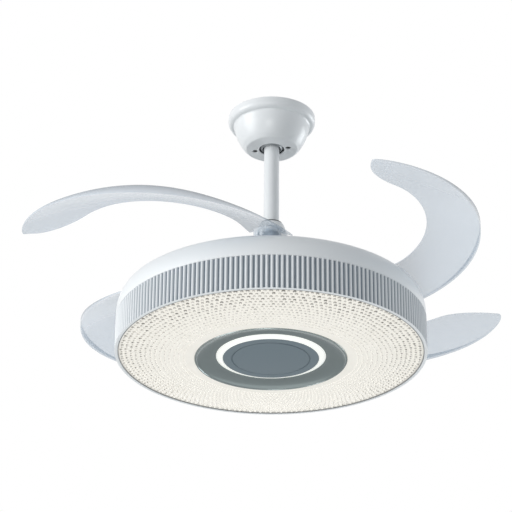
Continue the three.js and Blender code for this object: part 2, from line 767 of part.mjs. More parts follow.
/** Ring that turns on the motor housing and meshes with all four blade gears. */
function syncRingShape() {
  const pitch = 360 / ringTeeth;
  const travel = (foldAngle * bladeGearTeeth) / ringTeeth;
  const first = -Math.ceil(travel / pitch) - 2;
  const last = 2;
  const plain = ringRadius - 1.6 * toothModule;
  const corners = [];
  for (const turn of pivots) {
    for (let k = first; k < last; k += 1) corners.push(...toothCorners(ringRadius, turn + pitch * (k + 0.5)));
    const from = turn + pitch * last + 1;
    const to = turn + 360 / bladeCount + pitch * first - 1;
    for (let i = 0; i <= 6; i += 1) corners.push(polar(plain, from + ((to - from) * i) / 6));
  }
  const shape = new THREE.Shape(corners);
  shape.holes.push(circleHole(0, 0, housingRadius + seatGap, roundSteps));
  for (const turn of pivots) {
    const at = polar((housingRadius + ringRadius) / 2, turn + halfTurn / bladeCount);
    shape.holes.push(circleHole(at.x, at.y, (ringRadius - housingRadius) * 0.3));
  }
  return plate(shape, gearHeight, gearTop);
}

class Helix extends THREE.Curve {
  getPoint(share, target = new THREE.Vector3()) {
    const angle = 2 * Math.PI * springTurns * share;
    const low = carrierTop + seatGap + springWire / 2;
    const rise = gearHeight - seatGap - springWire / 2 - low;
    return target.set(springRadius * Math.cos(angle), springRadius * Math.sin(angle), low + rise * share);
  }
}

/** Torsion spring round the pivot that pulls its blade in when the motor stops. */
function springShape() {
  const sides = 5;
  const wire = new THREE.Shape(circle(0, 0, springWire / 2, sides));
  const coil = new THREE.ExtrudeGeometry(wire, {
    steps: 8 * springTurns, extrudePath: new Helix(), bevelEnabled: false,
  });
  return tidySolid(coil);
}

/** Least gap between the turns of the spring, measured on points along its wire. */
function leastSpringGap() {
  const perTurn = 24;
  const points = new Helix().getPoints(perTurn * springTurns);
  const spans = points.flatMap((point, i) =>
    points.slice(i + perTurn / 2).map((other) => point.distanceTo(other)));
  return Math.min(...spans) - springWire;
}

function boltShape() {
  const headTop = carrierHeight - seatGap;
  return carve([plate(hexagon(nutRadius), headTop - boltHeadHeight, headTop),
    bar(pivotRadius, headTop - 1, nutBottom + nutHeight + 1, holeSteps)]);
}

const washerShape = () => ring(outside(pivotRadius + holeGap, holeSteps), washerRadius,
  pocketFloor + seatGap, pocketFloor + seatGap + washerSheet, holeSteps);

const nutShape = () => plate(hexagon(nutRadius, pivotRadius + holeGap), nutBottom, nutBottom + nutHeight);

// ---------------------------------------------------------------- blades

/** Quarter-ellipse share: 1 where the rounding starts, 0 at the tip. */
function rounding(angle, from) {
  const past = Math.max(0, from - angle) / (from - sickleTipAngle);
  return Math.sqrt(Math.max(0, 1 - past ** 2));
}

/** Bell curve: 1 at its middle, falling away on both sides. */
const swell = (angle, middle, spread) => Math.exp(-(((angle - middle) / spread) ** 2));

const sickleAngle = (along) => sickleRootAngle + (sickleTipAngle - sickleRootAngle) * along;

/** Point of the blade's middle surface: along from root 0 to tip 1, across from inner 0 to outer 1. */
function bladePoint(along, across) {
  const angle = sickleAngle(along);
  const innerEdge = sickleInnerRadius - rootFlare * swell(angle, sickleRootAngle, rootFlareSpread);
  const outerEdge = sickleOuterRadius + sickleBulge * swell(angle, sickleBulgeAngle, sickleBulgeSpread);
  const inner = sickleTipRadius + (innerEdge - sickleTipRadius) * rounding(angle, innerRoundAngle);
  const outer = sickleTipRadius + (outerEdge - sickleTipRadius) * rounding(angle, outerRoundAngle);
  const rise = bladeTwistRise * (1 - along ** twistPower) + bladeTipRise;
  const outerHeight = bladeRootHeight + (bladeTipHeight - bladeRootHeight) * along;
  const height = outerHeight + rise * (1 - across ** camberPower);
  const at = polar(inner + (outer - inner) * across, angle);
  return new THREE.Vector3(pivotCircle + sickleOffset[0] + at.x, sickleOffset[1] + at.y, height);
}

/** Section of the blade as pairs of an upper and a lower point, the last two pairs being the lip. */
function bladeSection(along) {
  const width = bladePoint(along, 0).distanceTo(bladePoint(along, 1));
  const lipFoot = 1 - lipWall / width;
  const lipTop = bladeEdge / 2 + lipLeast + lipHeight * swell(sickleAngle(along), lipAngle, lipSpread);
  const lifted = (across, lift) => bladePoint(along, across).add(new THREE.Vector3(0, 0, lift));
  const inLip = (share) => lipFoot + (1 - lipFoot) * share;
  const sheet = Array.from({ length: bladeStrips + 1 }, (_, j) => {
    const across = (lipFoot * j) / bladeStrips;
    const half = (bladeEdge + (bladeMiddle - bladeEdge) * 4 * across * (1 - across)) / 2;
    return [lifted(across, half), lifted(across, -half)];
  });
  return [...sheet,
    [lifted(inLip(0.3), lipTop), lifted(inLip(0.5), -bladeEdge / 2)],
    [lifted(1, lipTop), lifted(1, -bladeEdge / 2)]];
}

/** Closed solid through sections that are each a row of upper and lower point pairs. */
function lofted(sections) {
  const pairs = sections[0].length;
  const loop = 2 * pairs;
  const places = sections.flatMap((section) => [
    ...section.map(([upper]) => upper), ...section.map(([, lower]) => lower).reverse(),
  ]).flatMap((at) => [at.x, at.y, at.z]);
  const index = [];
  const quad = (a, b, c, d) => index.push(a, b, c, a, c, d);
  for (let i = 0; i + 1 < sections.length; i += 1) {
    for (let k = 0; k < loop; k += 1) {
      const [near, far, next] = [i * loop, (i + 1) * loop, (k + 1) % loop];
      quad(near + k, near + next, far + next, far + k);
    }
  }
  const end = (sections.length - 1) * loop;
  for (let upper = 0; upper + 1 < pairs; upper += 1) {
    const lower = loop - 1 - upper;
    quad(upper + 1, upper, lower, lower - 1);
    quad(end + upper, end + upper + 1, end + lower - 1, end + lower);
  }
  const solid = new THREE.BufferGeometry();
  solid.setAttribute('position', new THREE.Float32BufferAttribute(places, 3));
  solid.setIndex(index);
  return tidySolid(solid);
}

/** Thin twisted sheet with its lip. Its sections crowd together towards the tip. */
const bladeSheet = () => lofted(Array.from({ length: bladeStations + 1 }, (_, i) => {
  const lastShare = 0.988;
  return bladeSection(1 - (1 - (lastShare * i) / bladeStations) ** 1.7);
}));

/** Foot from the boss out under the blade's inner root corner, as tall as the sheet above it. */
function rootFoot() {
  const pivot = v2(pivotCircle, 0);
  const centre = v2(...footOffset).add(pivot);
  const side = v2(-footOffset[1], footOffset[0]).normalize();
  const corners = [[pivot, bossRadius], [centre, footRadius], [centre, -footRadius], [pivot, -bossRadius]]
    .map(([from, reach]) => from.clone().addScaledVector(side, reach));
  const tall = bladeRootHeight + bladeTwistRise + cutPast;
  const toe = bar(footRadius, bossBottom, tall).translate(centre.x, centre.y, 0);
  const reach = 0.08; // share of the blade's length that the foot's roof covers each way
  const roof = [-reach, 0, reach, 2 * reach].map((along) => [0, 0.25, 0.5, 0.75, 1].map((across) => {
    const upper = bladePoint(along, across);
    return [upper, upper.clone().setZ(bossBottom - 1)];
  }));
  return clipped(carve([plate(new THREE.Shape(corners), bossBottom, tall), toe]), lofted(roof));
}

/** Blade with its foot and round boss, bored for the pivot and pocketed for the washer and nut. */
function bladeShape() {
  const boss = bar(bossRadius, bossBottom, bossTop).translate(pivotCircle, 0, 0);
  const bore = drill(pivotRadius + holeGap, bossBottom - 1, bossTop + cutPast).translate(pivotCircle, 0, 0);
  const pocket = drill(washerRadius + seatGap, pocketFloor, bossTop + cutPast, smallSteps)
    .translate(pivotCircle, 0, 0);
  return carve([bladeSheet(), rootFoot(), boss], [bore, pocket]);
}

// ---------------------------------------------------------------- assembly

const fan = new THREE.Group();

function addPiece(parent, name, geometry, material) {
  const piece = new THREE.Mesh(geometry, material);
  piece.name = name;
  parent.add(piece);
  return piece;
}

addPiece(fan, 'ceiling_bracket', bracketShape(), steel);
addPiece(fan, 'canopy', canopyShape(), enamel);
screwPlaces().forEach((at, i) => {
  addPiece(fan, `canopy_screw_${i + 1}`, canopyScrewShape(), steel).position.set(at.x, at.y, 0);
});
addPiece(fan, 'terminal_block', block(
  [-terminalLength / 2, bracketWidth / 2 - terminalDepth, -bracketSheet - seatGap - terminalHeight],
  [terminalLength / 2, bracketWidth / 2, -bracketSheet - seatGap],
), nylon);

const ball = new THREE.Group();
ball.position.z = ballCentre;
fan.add(ball);
addPiece(ball, 'hanger_ball', ballShape(), greyPlastic);
addPiece(ball, 'cross_pin', crossBar('y', crossPinRadius, crossPinLength, 0), steel);

const lamp = new THREE.Group();
lamp.position.z = -rimDrop;
fan.add(lamp);
addPiece(lamp, 'downrod',
  rodShape(rodBottom, rodTop + rimDrop, ballCentre + rimDrop, couplingPinHeight), enamel);
addPiece(lamp, 'rod_coupling', couplingShape(), steel);
addPiece(lamp, 'coupling_pin',
  crossBar('x', couplingPinRadius, 2 * couplingRadius + 4, couplingPinHeight), steel);
addPiece(lamp, 'bell_cover', bellShape(), enamel);
addPiece(lamp, 'motor_shaft',
  ring(shaftRadius - shaftWall, shaftRadius, shaftBottom, shaftTop, smallSteps), steel);
addPiece(lamp, 'stator_core', statorShape(), laminate);
addPiece(lamp, 'stator_winding', windingShape(), copper);
addPiece(lamp, 'lamp_flange', flangeShape(), steel);
addPiece(lamp, 'shaft_lock_nut', plate(hexagon(lockNutRadius, shaftRadius + seatGap),
  lockNutTop - lockNutHeight, lockNutTop), steel);
addPiece(lamp, 'lamp_deck', deckShape(), silverPaint);
addPiece(lamp, 'drum_shoulder', shoulderShape(), enamel);
addPiece(lamp, 'fluted_band', bandShape(), enamel);
addPiece(lamp, 'rim_trim', trimShape(), darkSteel);
addPiece(lamp, 'led_tray', trayShape(), whiteBoard);
addPiece(lamp, 'led_driver', driverShape(), whiteBoard);
addPiece(lamp, 'lens', lensShape(), lensWhite);
addPiece(lamp, 'bezel', bezelShape(), bezelGrey);
addPiece(lamp, 'halo_ring', haloShape(), haloWhite);
addPiece(lamp, 'centre_disc', centreDiscShape(), discGrey);

const rotor = new THREE.Group();
lamp.add(rotor);
addPiece(rotor, 'blade_carrier', carrierShape(), silverPaint);
addPiece(rotor, 'motor_housing_lower', lowerHousingShape(), silverPaint);
addPiece(rotor, 'motor_housing_upper', upperHousingShape(), silverPaint);
addPiece(rotor, 'magnet_ring', magnetShape(), darkSteel);
addPiece(rotor, 'bearing_lower', bearingOver(lowerBearing), steel);
addPiece(rotor, 'bearing_upper', bearingOver(upperBearing), steel);
addPiece(rotor, 'sync_ring', syncRingShape(), nylon);

// Blade 1 pivots on +X, and the others follow it clockwise as seen from above.
pivots.forEach((turn, i) => {
  const number = i + 1;
  const corner = new THREE.Group();
  corner.rotation.z = -turn * rad;
  rotor.add(corner);
  addPiece(corner, `blade_${number}`, bladeShape(), clearBlade);
  const atPivot = new THREE.Group();
  atPivot.position.x = pivotCircle;
  corner.add(atPivot);
  addPiece(atPivot, `blade_gear_${number}`, bladeGearShape(), nylon);
  addPiece(atPivot, `return_spring_${number}`, springShape(), steel);
  addPiece(atPivot, `pivot_bolt_${number}`, boltShape(), steel);
  addPiece(atPivot, `pivot_washer_${number}`, washerShape(), darkSteel);
  addPiece(atPivot, `pivot_nut_${number}`, nutShape(), steel);
});

console.log(`return spring: least gap between its turns ${leastSpringGap().toFixed(2)} mm`);

export default fan;
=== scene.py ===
"""Ceiling fan with a round reeded lamp and four clear folding blades.

Builds the fan's looks round the packed frame: white enamel canopy, rod, bell and drum, a lit lens
with rows of crystal drops, a grey centre with its light ring, and the clear sickle blades.
Metres, +Z up, with the ceiling face at z = 0 on the fan's axis.
"""

import math
import random

import bmesh
import bpy
from bpy.props import FloatProperty, FloatVectorProperty, IntProperty, PointerProperty
from mathutils import Matrix, Vector


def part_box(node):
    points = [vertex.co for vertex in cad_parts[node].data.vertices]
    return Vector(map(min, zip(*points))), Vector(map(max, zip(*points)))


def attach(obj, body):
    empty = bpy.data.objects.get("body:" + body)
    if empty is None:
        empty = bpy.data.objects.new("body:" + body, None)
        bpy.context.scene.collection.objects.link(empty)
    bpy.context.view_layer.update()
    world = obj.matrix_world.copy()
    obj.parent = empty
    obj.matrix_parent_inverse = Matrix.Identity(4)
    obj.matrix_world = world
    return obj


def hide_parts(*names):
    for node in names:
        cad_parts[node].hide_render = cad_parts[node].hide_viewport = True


bl_info = {
    "name": "Folding Blade Ceiling Fan",
    "version": (1, 0, 0),
    "blender": (4, 5, 0),
    "location": "View3D > Sidebar > Fan",
    "description": "Dresses the frame of a ceiling fan with clear folding blades and a round lamp",
    "category": "Object",
}

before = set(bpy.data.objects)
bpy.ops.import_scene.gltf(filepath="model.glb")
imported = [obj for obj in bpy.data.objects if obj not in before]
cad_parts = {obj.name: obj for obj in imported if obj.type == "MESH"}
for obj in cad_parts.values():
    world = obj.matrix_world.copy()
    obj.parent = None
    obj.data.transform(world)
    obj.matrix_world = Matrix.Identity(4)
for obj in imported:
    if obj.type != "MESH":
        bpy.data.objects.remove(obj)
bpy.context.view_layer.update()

MM = 0.001
QUARTER_TURN = math.pi / 2
DROP = "drop"
MOUNT = "ceiling_mount"
BLADE_NUMBERS = (1, 2, 3, 4)

# Places that the frame gives
CANOPY_LOW, CANOPY_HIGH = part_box("canopy")
BELL_LOW, BELL_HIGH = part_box("bell_cover")
ROD_LOW, ROD_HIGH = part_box("downrod")
BAND_LOW, BAND_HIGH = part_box("fluted_band")
SHOULDER_LOW, SHOULDER_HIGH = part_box("drum_shoulder")
TRIM_LOW, TRIM_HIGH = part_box("rim_trim")
LENS_LOW, LENS_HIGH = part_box("lens")
BEZEL_LOW, BEZEL_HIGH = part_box("bezel")
HALO_LOW, HALO_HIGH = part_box("halo_ring")
DISC_LOW, DISC_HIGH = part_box("centre_disc")
RIM_PLANE = -437 * MM  # plane that the blades' heights are counted from


def srgb(red, green, blue):
    """Linear colour of an 8-bit screen colour."""
    def linear(value):
        share = value / 255
        return share / 12.92 if share <= 0.04045 else ((share + 0.055) / 1.055) ** 2.4
    return (linear(red), linear(green), linear(blue), 1.0)


# ------------ settings


def colour_setting(label, note, *colour):
    return FloatVectorProperty(name=label, description=note, subtype="COLOR", size=4, min=0, max=1,
                               default=srgb(*colour))


def length_setting(label, note, value):
    return FloatProperty(name=label, description=note, unit="LENGTH", subtype="DISTANCE", min=0, default=value)


def level_setting(label, note, value, **more):
    return FloatProperty(name=label, description=note, min=0, default=value, **more)


def count_setting(label, note, value, least):
    return IntProperty(name=label, description=note, min=least, default=value)


class FinishSettings(bpy.types.PropertyGroup):
    """Colours of the fan's finishes."""

    enamel: colour_setting("Enamel", "White satin paint of canopy, rod, bell and drum", 238, 241, 243)
    # Painted shade: the valley colour stands for the shade that falls between the reeds.
    valley: colour_setting("Reed valley", "Shaded paint between the reeds", 118, 130, 142)
    lens: colour_setting("Lens", "Warm white acrylic of the lit lens", 240, 236, 228)
    lens_haze: colour_setting("Lens haze", "Faint clouds in the lens", 226, 220, 208)
    # Painted shade and painted highlight that the crystal drops' colour carries:
    crystal_shade: colour_setting("Crystal shade", "Dark crescent at the foot of each crystal drop", 92, 88, 82)
    crystal_highlight: colour_setting("Crystal spark", "Bright side of each crystal drop", 255, 254, 250)
    halo: colour_setting("Light ring", "Opal of the light ring", 246, 247, 243)
    blade: colour_setting("Blade", "Tint of the clear blade plastic", 203, 216, 229)
    blade_rim: colour_setting("Blade rim", "Deeper tint along the blade's lip", 146, 157, 168)
    bezel_metal: colour_setting("Bezel", "Grey metal bowl round the light ring", 142, 152, 152)
    slate_plastic: colour_setting("Centre disc", "Slate grey plastic of the centre disc", 112, 126, 134)
    # Painted shade: the trim's dark grey stands for the shadow in the gap between band and lens.
    dark_trim: colour_setting("Trim", "Dark ring that holds the lens", 146, 148, 150)
    black_rubber: colour_setting("Rubber", "Ring between rod and bell", 44, 46, 49)
    zinc_steel: colour_setting("Zinc", "Plated steel of pins, shaft and bracket", 176, 180, 184)
    dark_steel: colour_setting("Dark steel", "Screws of canopy and blades", 96, 98, 100)
    bright_steel: colour_setting("Bright steel", "Bolts that the blades turn on", 222, 226, 229)
    cast_grey_metal: colour_setting("Cast metal", "Hanger ball", 168, 172, 175)
    shell_paint: colour_setting("Shell paint", "Carrier, motor housing and lamp deck", 206, 211, 215)
    white_nylon: colour_setting("Nylon", "Gears and terminal block", 226, 224, 214)
    board_white: colour_setting("Board", "Light tray and driver", 238, 238, 232)
    magnet: colour_setting("Magnet", "Magnet ring", 52, 55, 60)


class CanopySettings(bpy.types.PropertyGroup):
    """Canopy at the ceiling."""

    lip_height: length_setting("Lip height", "Straight part of the canopy's lip", 8.5 * MM)
    lip_round: length_setting("Lip rounding", "Height of the rounding under the lip", 8.5 * MM)
    waist_radius: length_setting("Waist radius", "Radius where the taper starts under the lip", 63.5 * MM)
    face_radius: length_setting("Bottom face radius", "Radius of the flat bottom face", 42 * MM)
    hole_radius: length_setting("Hole radius", "Hole that the hanger ball shows in", 21.4 * MM)
    wall: length_setting("Wall", "Thickness of the canopy's sheet", 1.6 * MM)
    screw_head: length_setting("Screw head", "Radius of the screw heads", 3.2 * MM)
    screw_hole: length_setting("Screw hole", "Radius of the holes that the screw heads sink into", 4.6 * MM)


class DrumSettings(bpy.types.PropertyGroup):
    """Drum's shoulder and reeded band."""

    reed_count: count_setting("Reeds", "Upright reeds round the band", 200, 24)
    reed_depth: length_setting("Reed depth", "How deep the valleys between the reeds are", 3.1 * MM)
    band_wall: length_setting("Band wall", "Thickness of the band", 5 * MM)
    band_lip: length_setting("Band lip", "Height of the plain rounded lip under the reeds", 0.6 * MM)
    shoulder_wall: length_setting("Shoulder wall", "Thickness of the shoulder's sheet", 2.5 * MM)
    shoulder_reach: length_setting("Shoulder reach", "How far the shoulder curves in", 14.8 * MM)
    mouth_lip: length_setting("Mouth lip", "Width of the lip round the shoulder's mouth", 4.5 * MM)


class LampSettings(bpy.types.PropertyGroup):
    """Lens with its crystal drops, bezel, light ring and centre disc."""

    drop_rows: count_setting("Drop rows", "Radial rows of crystal drops", 168, 12)
    drop_pitch: length_setting("Drop pitch", "Distance between the rings of drops", 7.6 * MM)
    drop_radius: length_setting("Drop radius", "Radius of the outermost drops", 3.3 * MM)
    drop_height: length_setting("Drop height", "How far the outermost drops stand proud", 2.3 * MM)
    plain_radius: length_setting("Plain radius", "Radius inside which the lens has no drops", 132 * MM)
    border: length_setting("Plain border", "Plain band inside the lens's edge", 3.5 * MM)
    bowl_depth: length_setting("Bowl depth", "Depth of the bezel's bowl", 7.1 * MM)
    bowl_side: length_setting("Bowl side", "Width of the bowl's rounded side", 27 * MM)
    step_radius: length_setting("Disc groove", "Radius of the groove in the centre disc", 61.6 * MM)
    lens_glow: level_setting("Lens glow", "Light that the lens gives out", 0.265)
    halo_glow: level_setting("Halo glow", "Light that the ring gives out", 0.3)


class BladeSettings(bpy.types.PropertyGroup):
    """Clear sickle blades."""

    edge: length_setting("Edge", "Thickness of the blade's edges", 1.6 * MM)
    middle: length_setting("Middle", "Thickness of the blade's middle", 3.2 * MM)
    lip_wall: length_setting("Lip wall", "Thickness of the turned-up lip along the outer edge", 1.6 * MM)
    lip_height: length_setting("Lip height", "Height of that lip where it is tallest", 11.5 * MM)
    opacity: level_setting("Opacity", "How much each face of the clear plastic hides", 0.38, max=1)
    stations: count_setting("Stations", "Sections along the blade", 90, 12)
    strips: count_setting("Strips", "Strips across the blade", 12, 4)


class StageSettings(bpy.types.PropertyGroup):
    """Floor, lights and camera."""

    floor_drop: length_setting("Floor drop", "Height of the ceiling above the floor", 2.5)
    ambient: level_setting("Ambient", "Level of the even light all round", 0.36)
    key: level_setting("Key", "Power of the large soft lamp on the left", 99, subtype="POWER")
    rim: level_setting("Rim", "Power of the soft lamp on the right", 52, subtype="POWER")
    bounce: level_setting("Bounce", "Power of the wide soft lamp near the floor", 14, subtype="POWER")
    front: level_setting("Front", "Power of the low soft lamp in front", 18, subtype="POWER")
    lens_mm: level_setting("Camera lens", "Focal length on a 36 mm sensor", 147.0, subtype="DISTANCE_CAMERA")


SETTINGS = {
    "fan_finish": FinishSettings,
    "fan_canopy": CanopySettings,
    "fan_drum": DrumSettings,
    "fan_lamp": LampSettings,
    "fan_blade": BladeSettings,
    "fan_stage": StageSettings,
}


# ------------ mesh helpers

SMOOTH_ANGLE = 34.0  # degrees: sharper creases than this stay sharp
AXIS = 1e-7  # a profile point nearer to the axis than this lies on it


def spaced(start, end, steps):
    """Evenly spaced values, both ends included."""
    return [start + (end - start) * i / steps for i in range(steps + 1)]


def clamp(value, low=0.0, high=1.0):
    return min(max(value, low), high)


def fillet(points, radius, steps=5):
    """Profile with each inner corner rounded by an arc-like curve of that radius."""
    made = [Vector(points[0])]
    for before, corner, after in zip(points, points[1:], points[2:]):
        before, corner, after = Vector(before), Vector(corner), Vector(after)
        reach = min(radius, (before - corner).length * 0.45, (after - corner).length * 0.45)
        start = corner + (before - corner).normalized() * reach
        end = corner + (after - corner).normalized() * reach
        for i in range(steps + 1):
            t = i / steps
            made.append(start * (1 - t) ** 2 + corner * 2 * t * (1 - t) + end * t ** 2)
    made.append(Vector(points[-1]))
    return made


def rounded_loop(points, radius, steps=4):
    """Closed profile with every corner rounded."""
    return fillet([points[-1], *points, points[0]], radius, steps)[1:-1]


def box_loop(inner, outer, low, high, radius, steps=4):
    """Closed profile of a plain tube with rounded edges."""
    return rounded_loop([(inner, low), (outer, low), (outer, high), (inner, high)], radius, steps)


def wall_loop(outline, wall):
    """Closed profile of a sheet: the outline, and the same outline moved in by the wall."""
    inner = []
    for i, point in enumerate(outline):
        before = Vector(outline[max(i - 1, 0)])
        after = Vector(outline[min(i + 1, len(outline) - 1)])
        run = (after - before).normalized()
        inner.append(Vector(point) + Vector((-run.y, run.x)) * wall)
    return [Vector(p) for p in outline] + inner[::-1]


def spline(points, steps=10):
    """Points of a smooth curve through the given profile points."""
    pts = [Vector(p) for p in points]
    pts = [2 * pts[0] - pts[1], *pts, 2 * pts[-1] - pts[-2]]
    made = []
    for a, b, c, d in zip(pts, pts[1:], pts[2:], pts[3:]):
        for i in range(steps):
            t = i / steps
            made.append(0.5 * ((2 * b) + (c - a) * t + (2 * a - 5 * b + 4 * c - d) * t * t
                               + (3 * b - a - 3 * c + d) * t ** 3))
    made.append(pts[-2])
    return made


def link_object(name, data):
    """Object of that mesh, lamp or camera, linked to the scene."""
    made = bpy.data.objects.new(name, data)
    bpy.context.scene.collection.objects.link(made)
    return made


def smooth(mesh, angle):
    mesh.shade_smooth()
    mesh.set_sharp_from_angle(angle=math.radians(angle))


def new_piece(name, bm, smooth_angle=SMOOTH_ANGLE):
    """Object of a finished bmesh, with faces pointing out and creases kept sharp."""
    bmesh.ops.recalc_face_normals(bm, faces=bm.faces)
    mesh = bpy.data.meshes.new(name)
    bm.to_mesh(mesh)
    bm.free()
    smooth(mesh, smooth_angle)
    return link_object(name, mesh)


def bridge(bm, low, high):
    """Faces between two closed loops of equally many points."""
    for i in range(len(low)):
        j = (i + 1) % len(low)
        bm.faces.new([low[i], low[j], high[j], high[i]])


def fan_faces(bm, loop, peak):
    """Triangles from a closed loop to one point."""
    for i in range(len(loop)):
        bm.faces.new([loop[i], loop[(i + 1) % len(loop)], peak])


def turned_piece(name, profile, steps=128, closed=True, centre=(0.0, 0.0, 0.0), smooth_angle=SMOOTH_ANGLE):
    """Solid turned about the upright through centre. An open profile starts and ends on the axis."""
    bm = bmesh.new()
    at = Vector(centre)
    loops = []
    for radius, height in profile:
        if radius < AXIS:
            loops.append([bm.verts.new(at + Vector((0, 0, height)))])
            continue
        loops.append([
            bm.verts.new(at + Vector((radius * math.cos(a), radius * math.sin(a), height)))
            for a in (2 * math.pi * i / steps for i in range(steps))
        ])
    pairs = list(zip(loops, loops[1:]))
    if closed:
        pairs.append((loops[-1], loops[0]))
    for low, high in pairs:
        for i in range(steps):
            j = (i + 1) % steps
            ring = [low[i % len(low)], low[j % len(low)], high[j % len(high)], high[i % len(high)]]
            corners = list(dict.fromkeys(ring))
            if len(corners) > 2:
                bm.faces.new(corners)
    return new_piece(name, bm, smooth_angle)


def round_bar(name, radius, low, high, steps, centre):
    """Plain round bar that cuts a bore."""
    return turned_piece(name, [(0, low), (radius, low), (radius, high), (0, high)], steps, closed=False,
                        centre=centre)


def carved(piece, operation, *tools):
    """Joins other pieces to a piece, or cuts them out of it, and takes them away."""
    for tool in tools:
        step = piece.modifiers.new(operation.lower(), "BOOLEAN")
        step.operation = operation
        step.solver = "EXACT"
        step.object = tool
    bpy.context.view_layer.update()
    made = bpy.data.meshes.new_from_object(piece.evaluated_get(bpy.context.evaluated_depsgraph_get()))
    piece.modifiers.clear()
    piece.data = made
    smooth(made, SMOOTH_ANGLE)
    for tool in tools:
        bpy.data.objects.remove(tool)
    return piece


def dress(piece, material, body, slot, *nodes):
    """Gives a piece its material and its body, and hides the CAD nodes that it stands for; the record slot is not
    used.
    """
    piece.data.materials.clear()
    piece.data.materials.append(material)
    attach(piece, body)
    if nodes:
        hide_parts(*nodes)
    return piece


# ------------ material helpers


def add_node(tree, kind, inputs=None, **settings):
    """Adds a node, sets its fields, and fills its inputs with values or links."""
    node = tree.nodes.new(kind)
    for field, value in settings.items():
        setattr(node, field, value)
    for key, value in (inputs or {}).items():
        if isinstance(value, bpy.types.NodeSocket):
            tree.links.new(value, node.inputs[key])
        else:
            node.inputs[key].default_value = value
    return node


def object_place(tree):
    return add_node(tree, "ShaderNodeTexCoord").outputs["Object"]


def noise(tree, place, scale, detail=2.0):
    return add_node(tree, "ShaderNodeTexNoise", {"Vector": place, "Scale": scale, "Detail": detail}).outputs["Fac"]


def point_value(tree, name):
    """Value that the mesh holds at each point under that name."""
    return add_node(tree, "ShaderNodeAttribute", attribute_name=name).outputs["Fac"]


def reckon(tree, operation, *values):
    """Result of a Math node."""
    return add_node(tree, "ShaderNodeMath", dict(enumerate(values)), operation=operation).outputs[0]


def remap(tree, value, start, end, low=0.0, high=1.0):
    """Value moved from the range start to end into the range low to high."""
    return add_node(tree, "ShaderNodeMapRange", {"Value": value, "From Min": start, "From Max": end,
                                                 "To Min": low, "To Max": high}).outputs[0]


def blend(tree, share, first, second):
    """Colour between the first at 0 and the second at 1."""
    return add_node(tree, "ShaderNodeMix", {"Factor": share, 6: first, 7: second}, data_type="RGBA").outputs[2]


def add_relief(tree, shader, height, strength, distance=0.1 * MM):
    relief = add_node(tree, "ShaderNodeBump", {"Height": height, "Strength": strength, "Distance": distance})
    tree.links.new(relief.outputs["Normal"], shader.inputs["Normal"])


def toned(colour, level):
    """Colour made lighter or darker by a factor."""
    return [min(1.0, c * level) for c in colour[:3]] + [1.0]


def new_group(name, inputs, outputs):
    """Empty node group with named sockets. Returns the group and its input node."""
    group = bpy.data.node_groups.new(name, "ShaderNodeTree")
    for label, kind, value in inputs:
        group.interface.new_socket(label, in_out="INPUT", socket_type=f"NodeSocket{kind}").default_value = value
    for label, kind in outputs:
        group.interface.new_socket(label, in_out="OUTPUT", socket_type=f"NodeSocket{kind}")
    return group, group.nodes.new("NodeGroupInput")


def paint_grain_group():
    """Fine pebbled surface with a slow drift of tone: colour, roughness and height."""
    name = "Paint grain"
    if name in bpy.data.node_groups:
        return bpy.data.node_groups[name]
    group, given = new_group(name, [
        ("Colour", "Color", (0.8, 0.8, 0.8, 1)),
        ("Roughness", "Float", 0.4),
        ("Grain Scale", "Float", 900.0),
        ("Drift", "Float", 0.04),
    ], [("Colour", "Color"), ("Roughness", "Float"), ("Height", "Float")])
    value = given.outputs
    place = object_place(group)
    spread = reckon(group, "SUBTRACT", noise(group, place, 9.0, 3.0), 0.5)
    drift = reckon(group, "MULTIPLY", spread, value["Drift"])
    level = reckon(group, "ADD", drift, 1.0)
    shaded = add_node(group, "ShaderNodeVectorMath", {0: value["Colour"], "Scale": level}, operation="SCALE")
    add_node(group, "NodeGroupOutput", {
        "Colour": shaded.outputs[0], "Roughness": reckon(group, "MULTIPLY_ADD", drift, 1.6, value["Roughness"]),
        "Height": noise(group, place, value["Grain Scale"])})
    return group


def edge_dust_group():
    """Handling marks: worn corners, and thin dust in the hollows."""
    name = "Edge and dust"
    if name in bpy.data.node_groups:
        return bpy.data.node_groups[name]
    group, given = new_group(name, [
        ("Colour", "Color", (0.8, 0.8, 0.8, 1)),
        ("Edge Colour", "Color", (0.9, 0.9, 0.9, 1)),
        ("Dust Colour", "Color", (0.6, 0.59, 0.57, 1)),
        ("Edge", "Float", 0.3),
        ("Dust", "Float", 0.3),
    ], [("Colour", "Color")])
    value = given.outputs
    shape = add_node(group, "ShaderNodeNewGeometry").outputs["Pointiness"]
    worn = reckon(group, "MULTIPLY", remap(group, shape, 0.52, 0.62), value["Edge"])
    patchy = reckon(group, "MULTIPLY", remap(group, shape, 0.48, 0.38), noise(group, object_place(group), 60.0, 4.0))
    dust = reckon(group, "MULTIPLY", patchy, value["Dust"])
    edged = blend(group, worn, value["Colour"], value["Edge Colour"])
    add_node(group, "NodeGroupOutput", {"Colour": blend(group, dust, edged, value["Dust Colour"])})
    return group


def new_material(name, **sockets):
    """Material with one Principled shader. Returns material, tree and shader."""
    material = bpy.data.materials.new(name)
    material.use_nodes = True
    tree = material.node_tree
    shader = tree.nodes["Principled BSDF"]
    for label, value in sockets.items():
        shader.inputs[label.replace("_", " ")].default_value = value
    return material, tree, shader


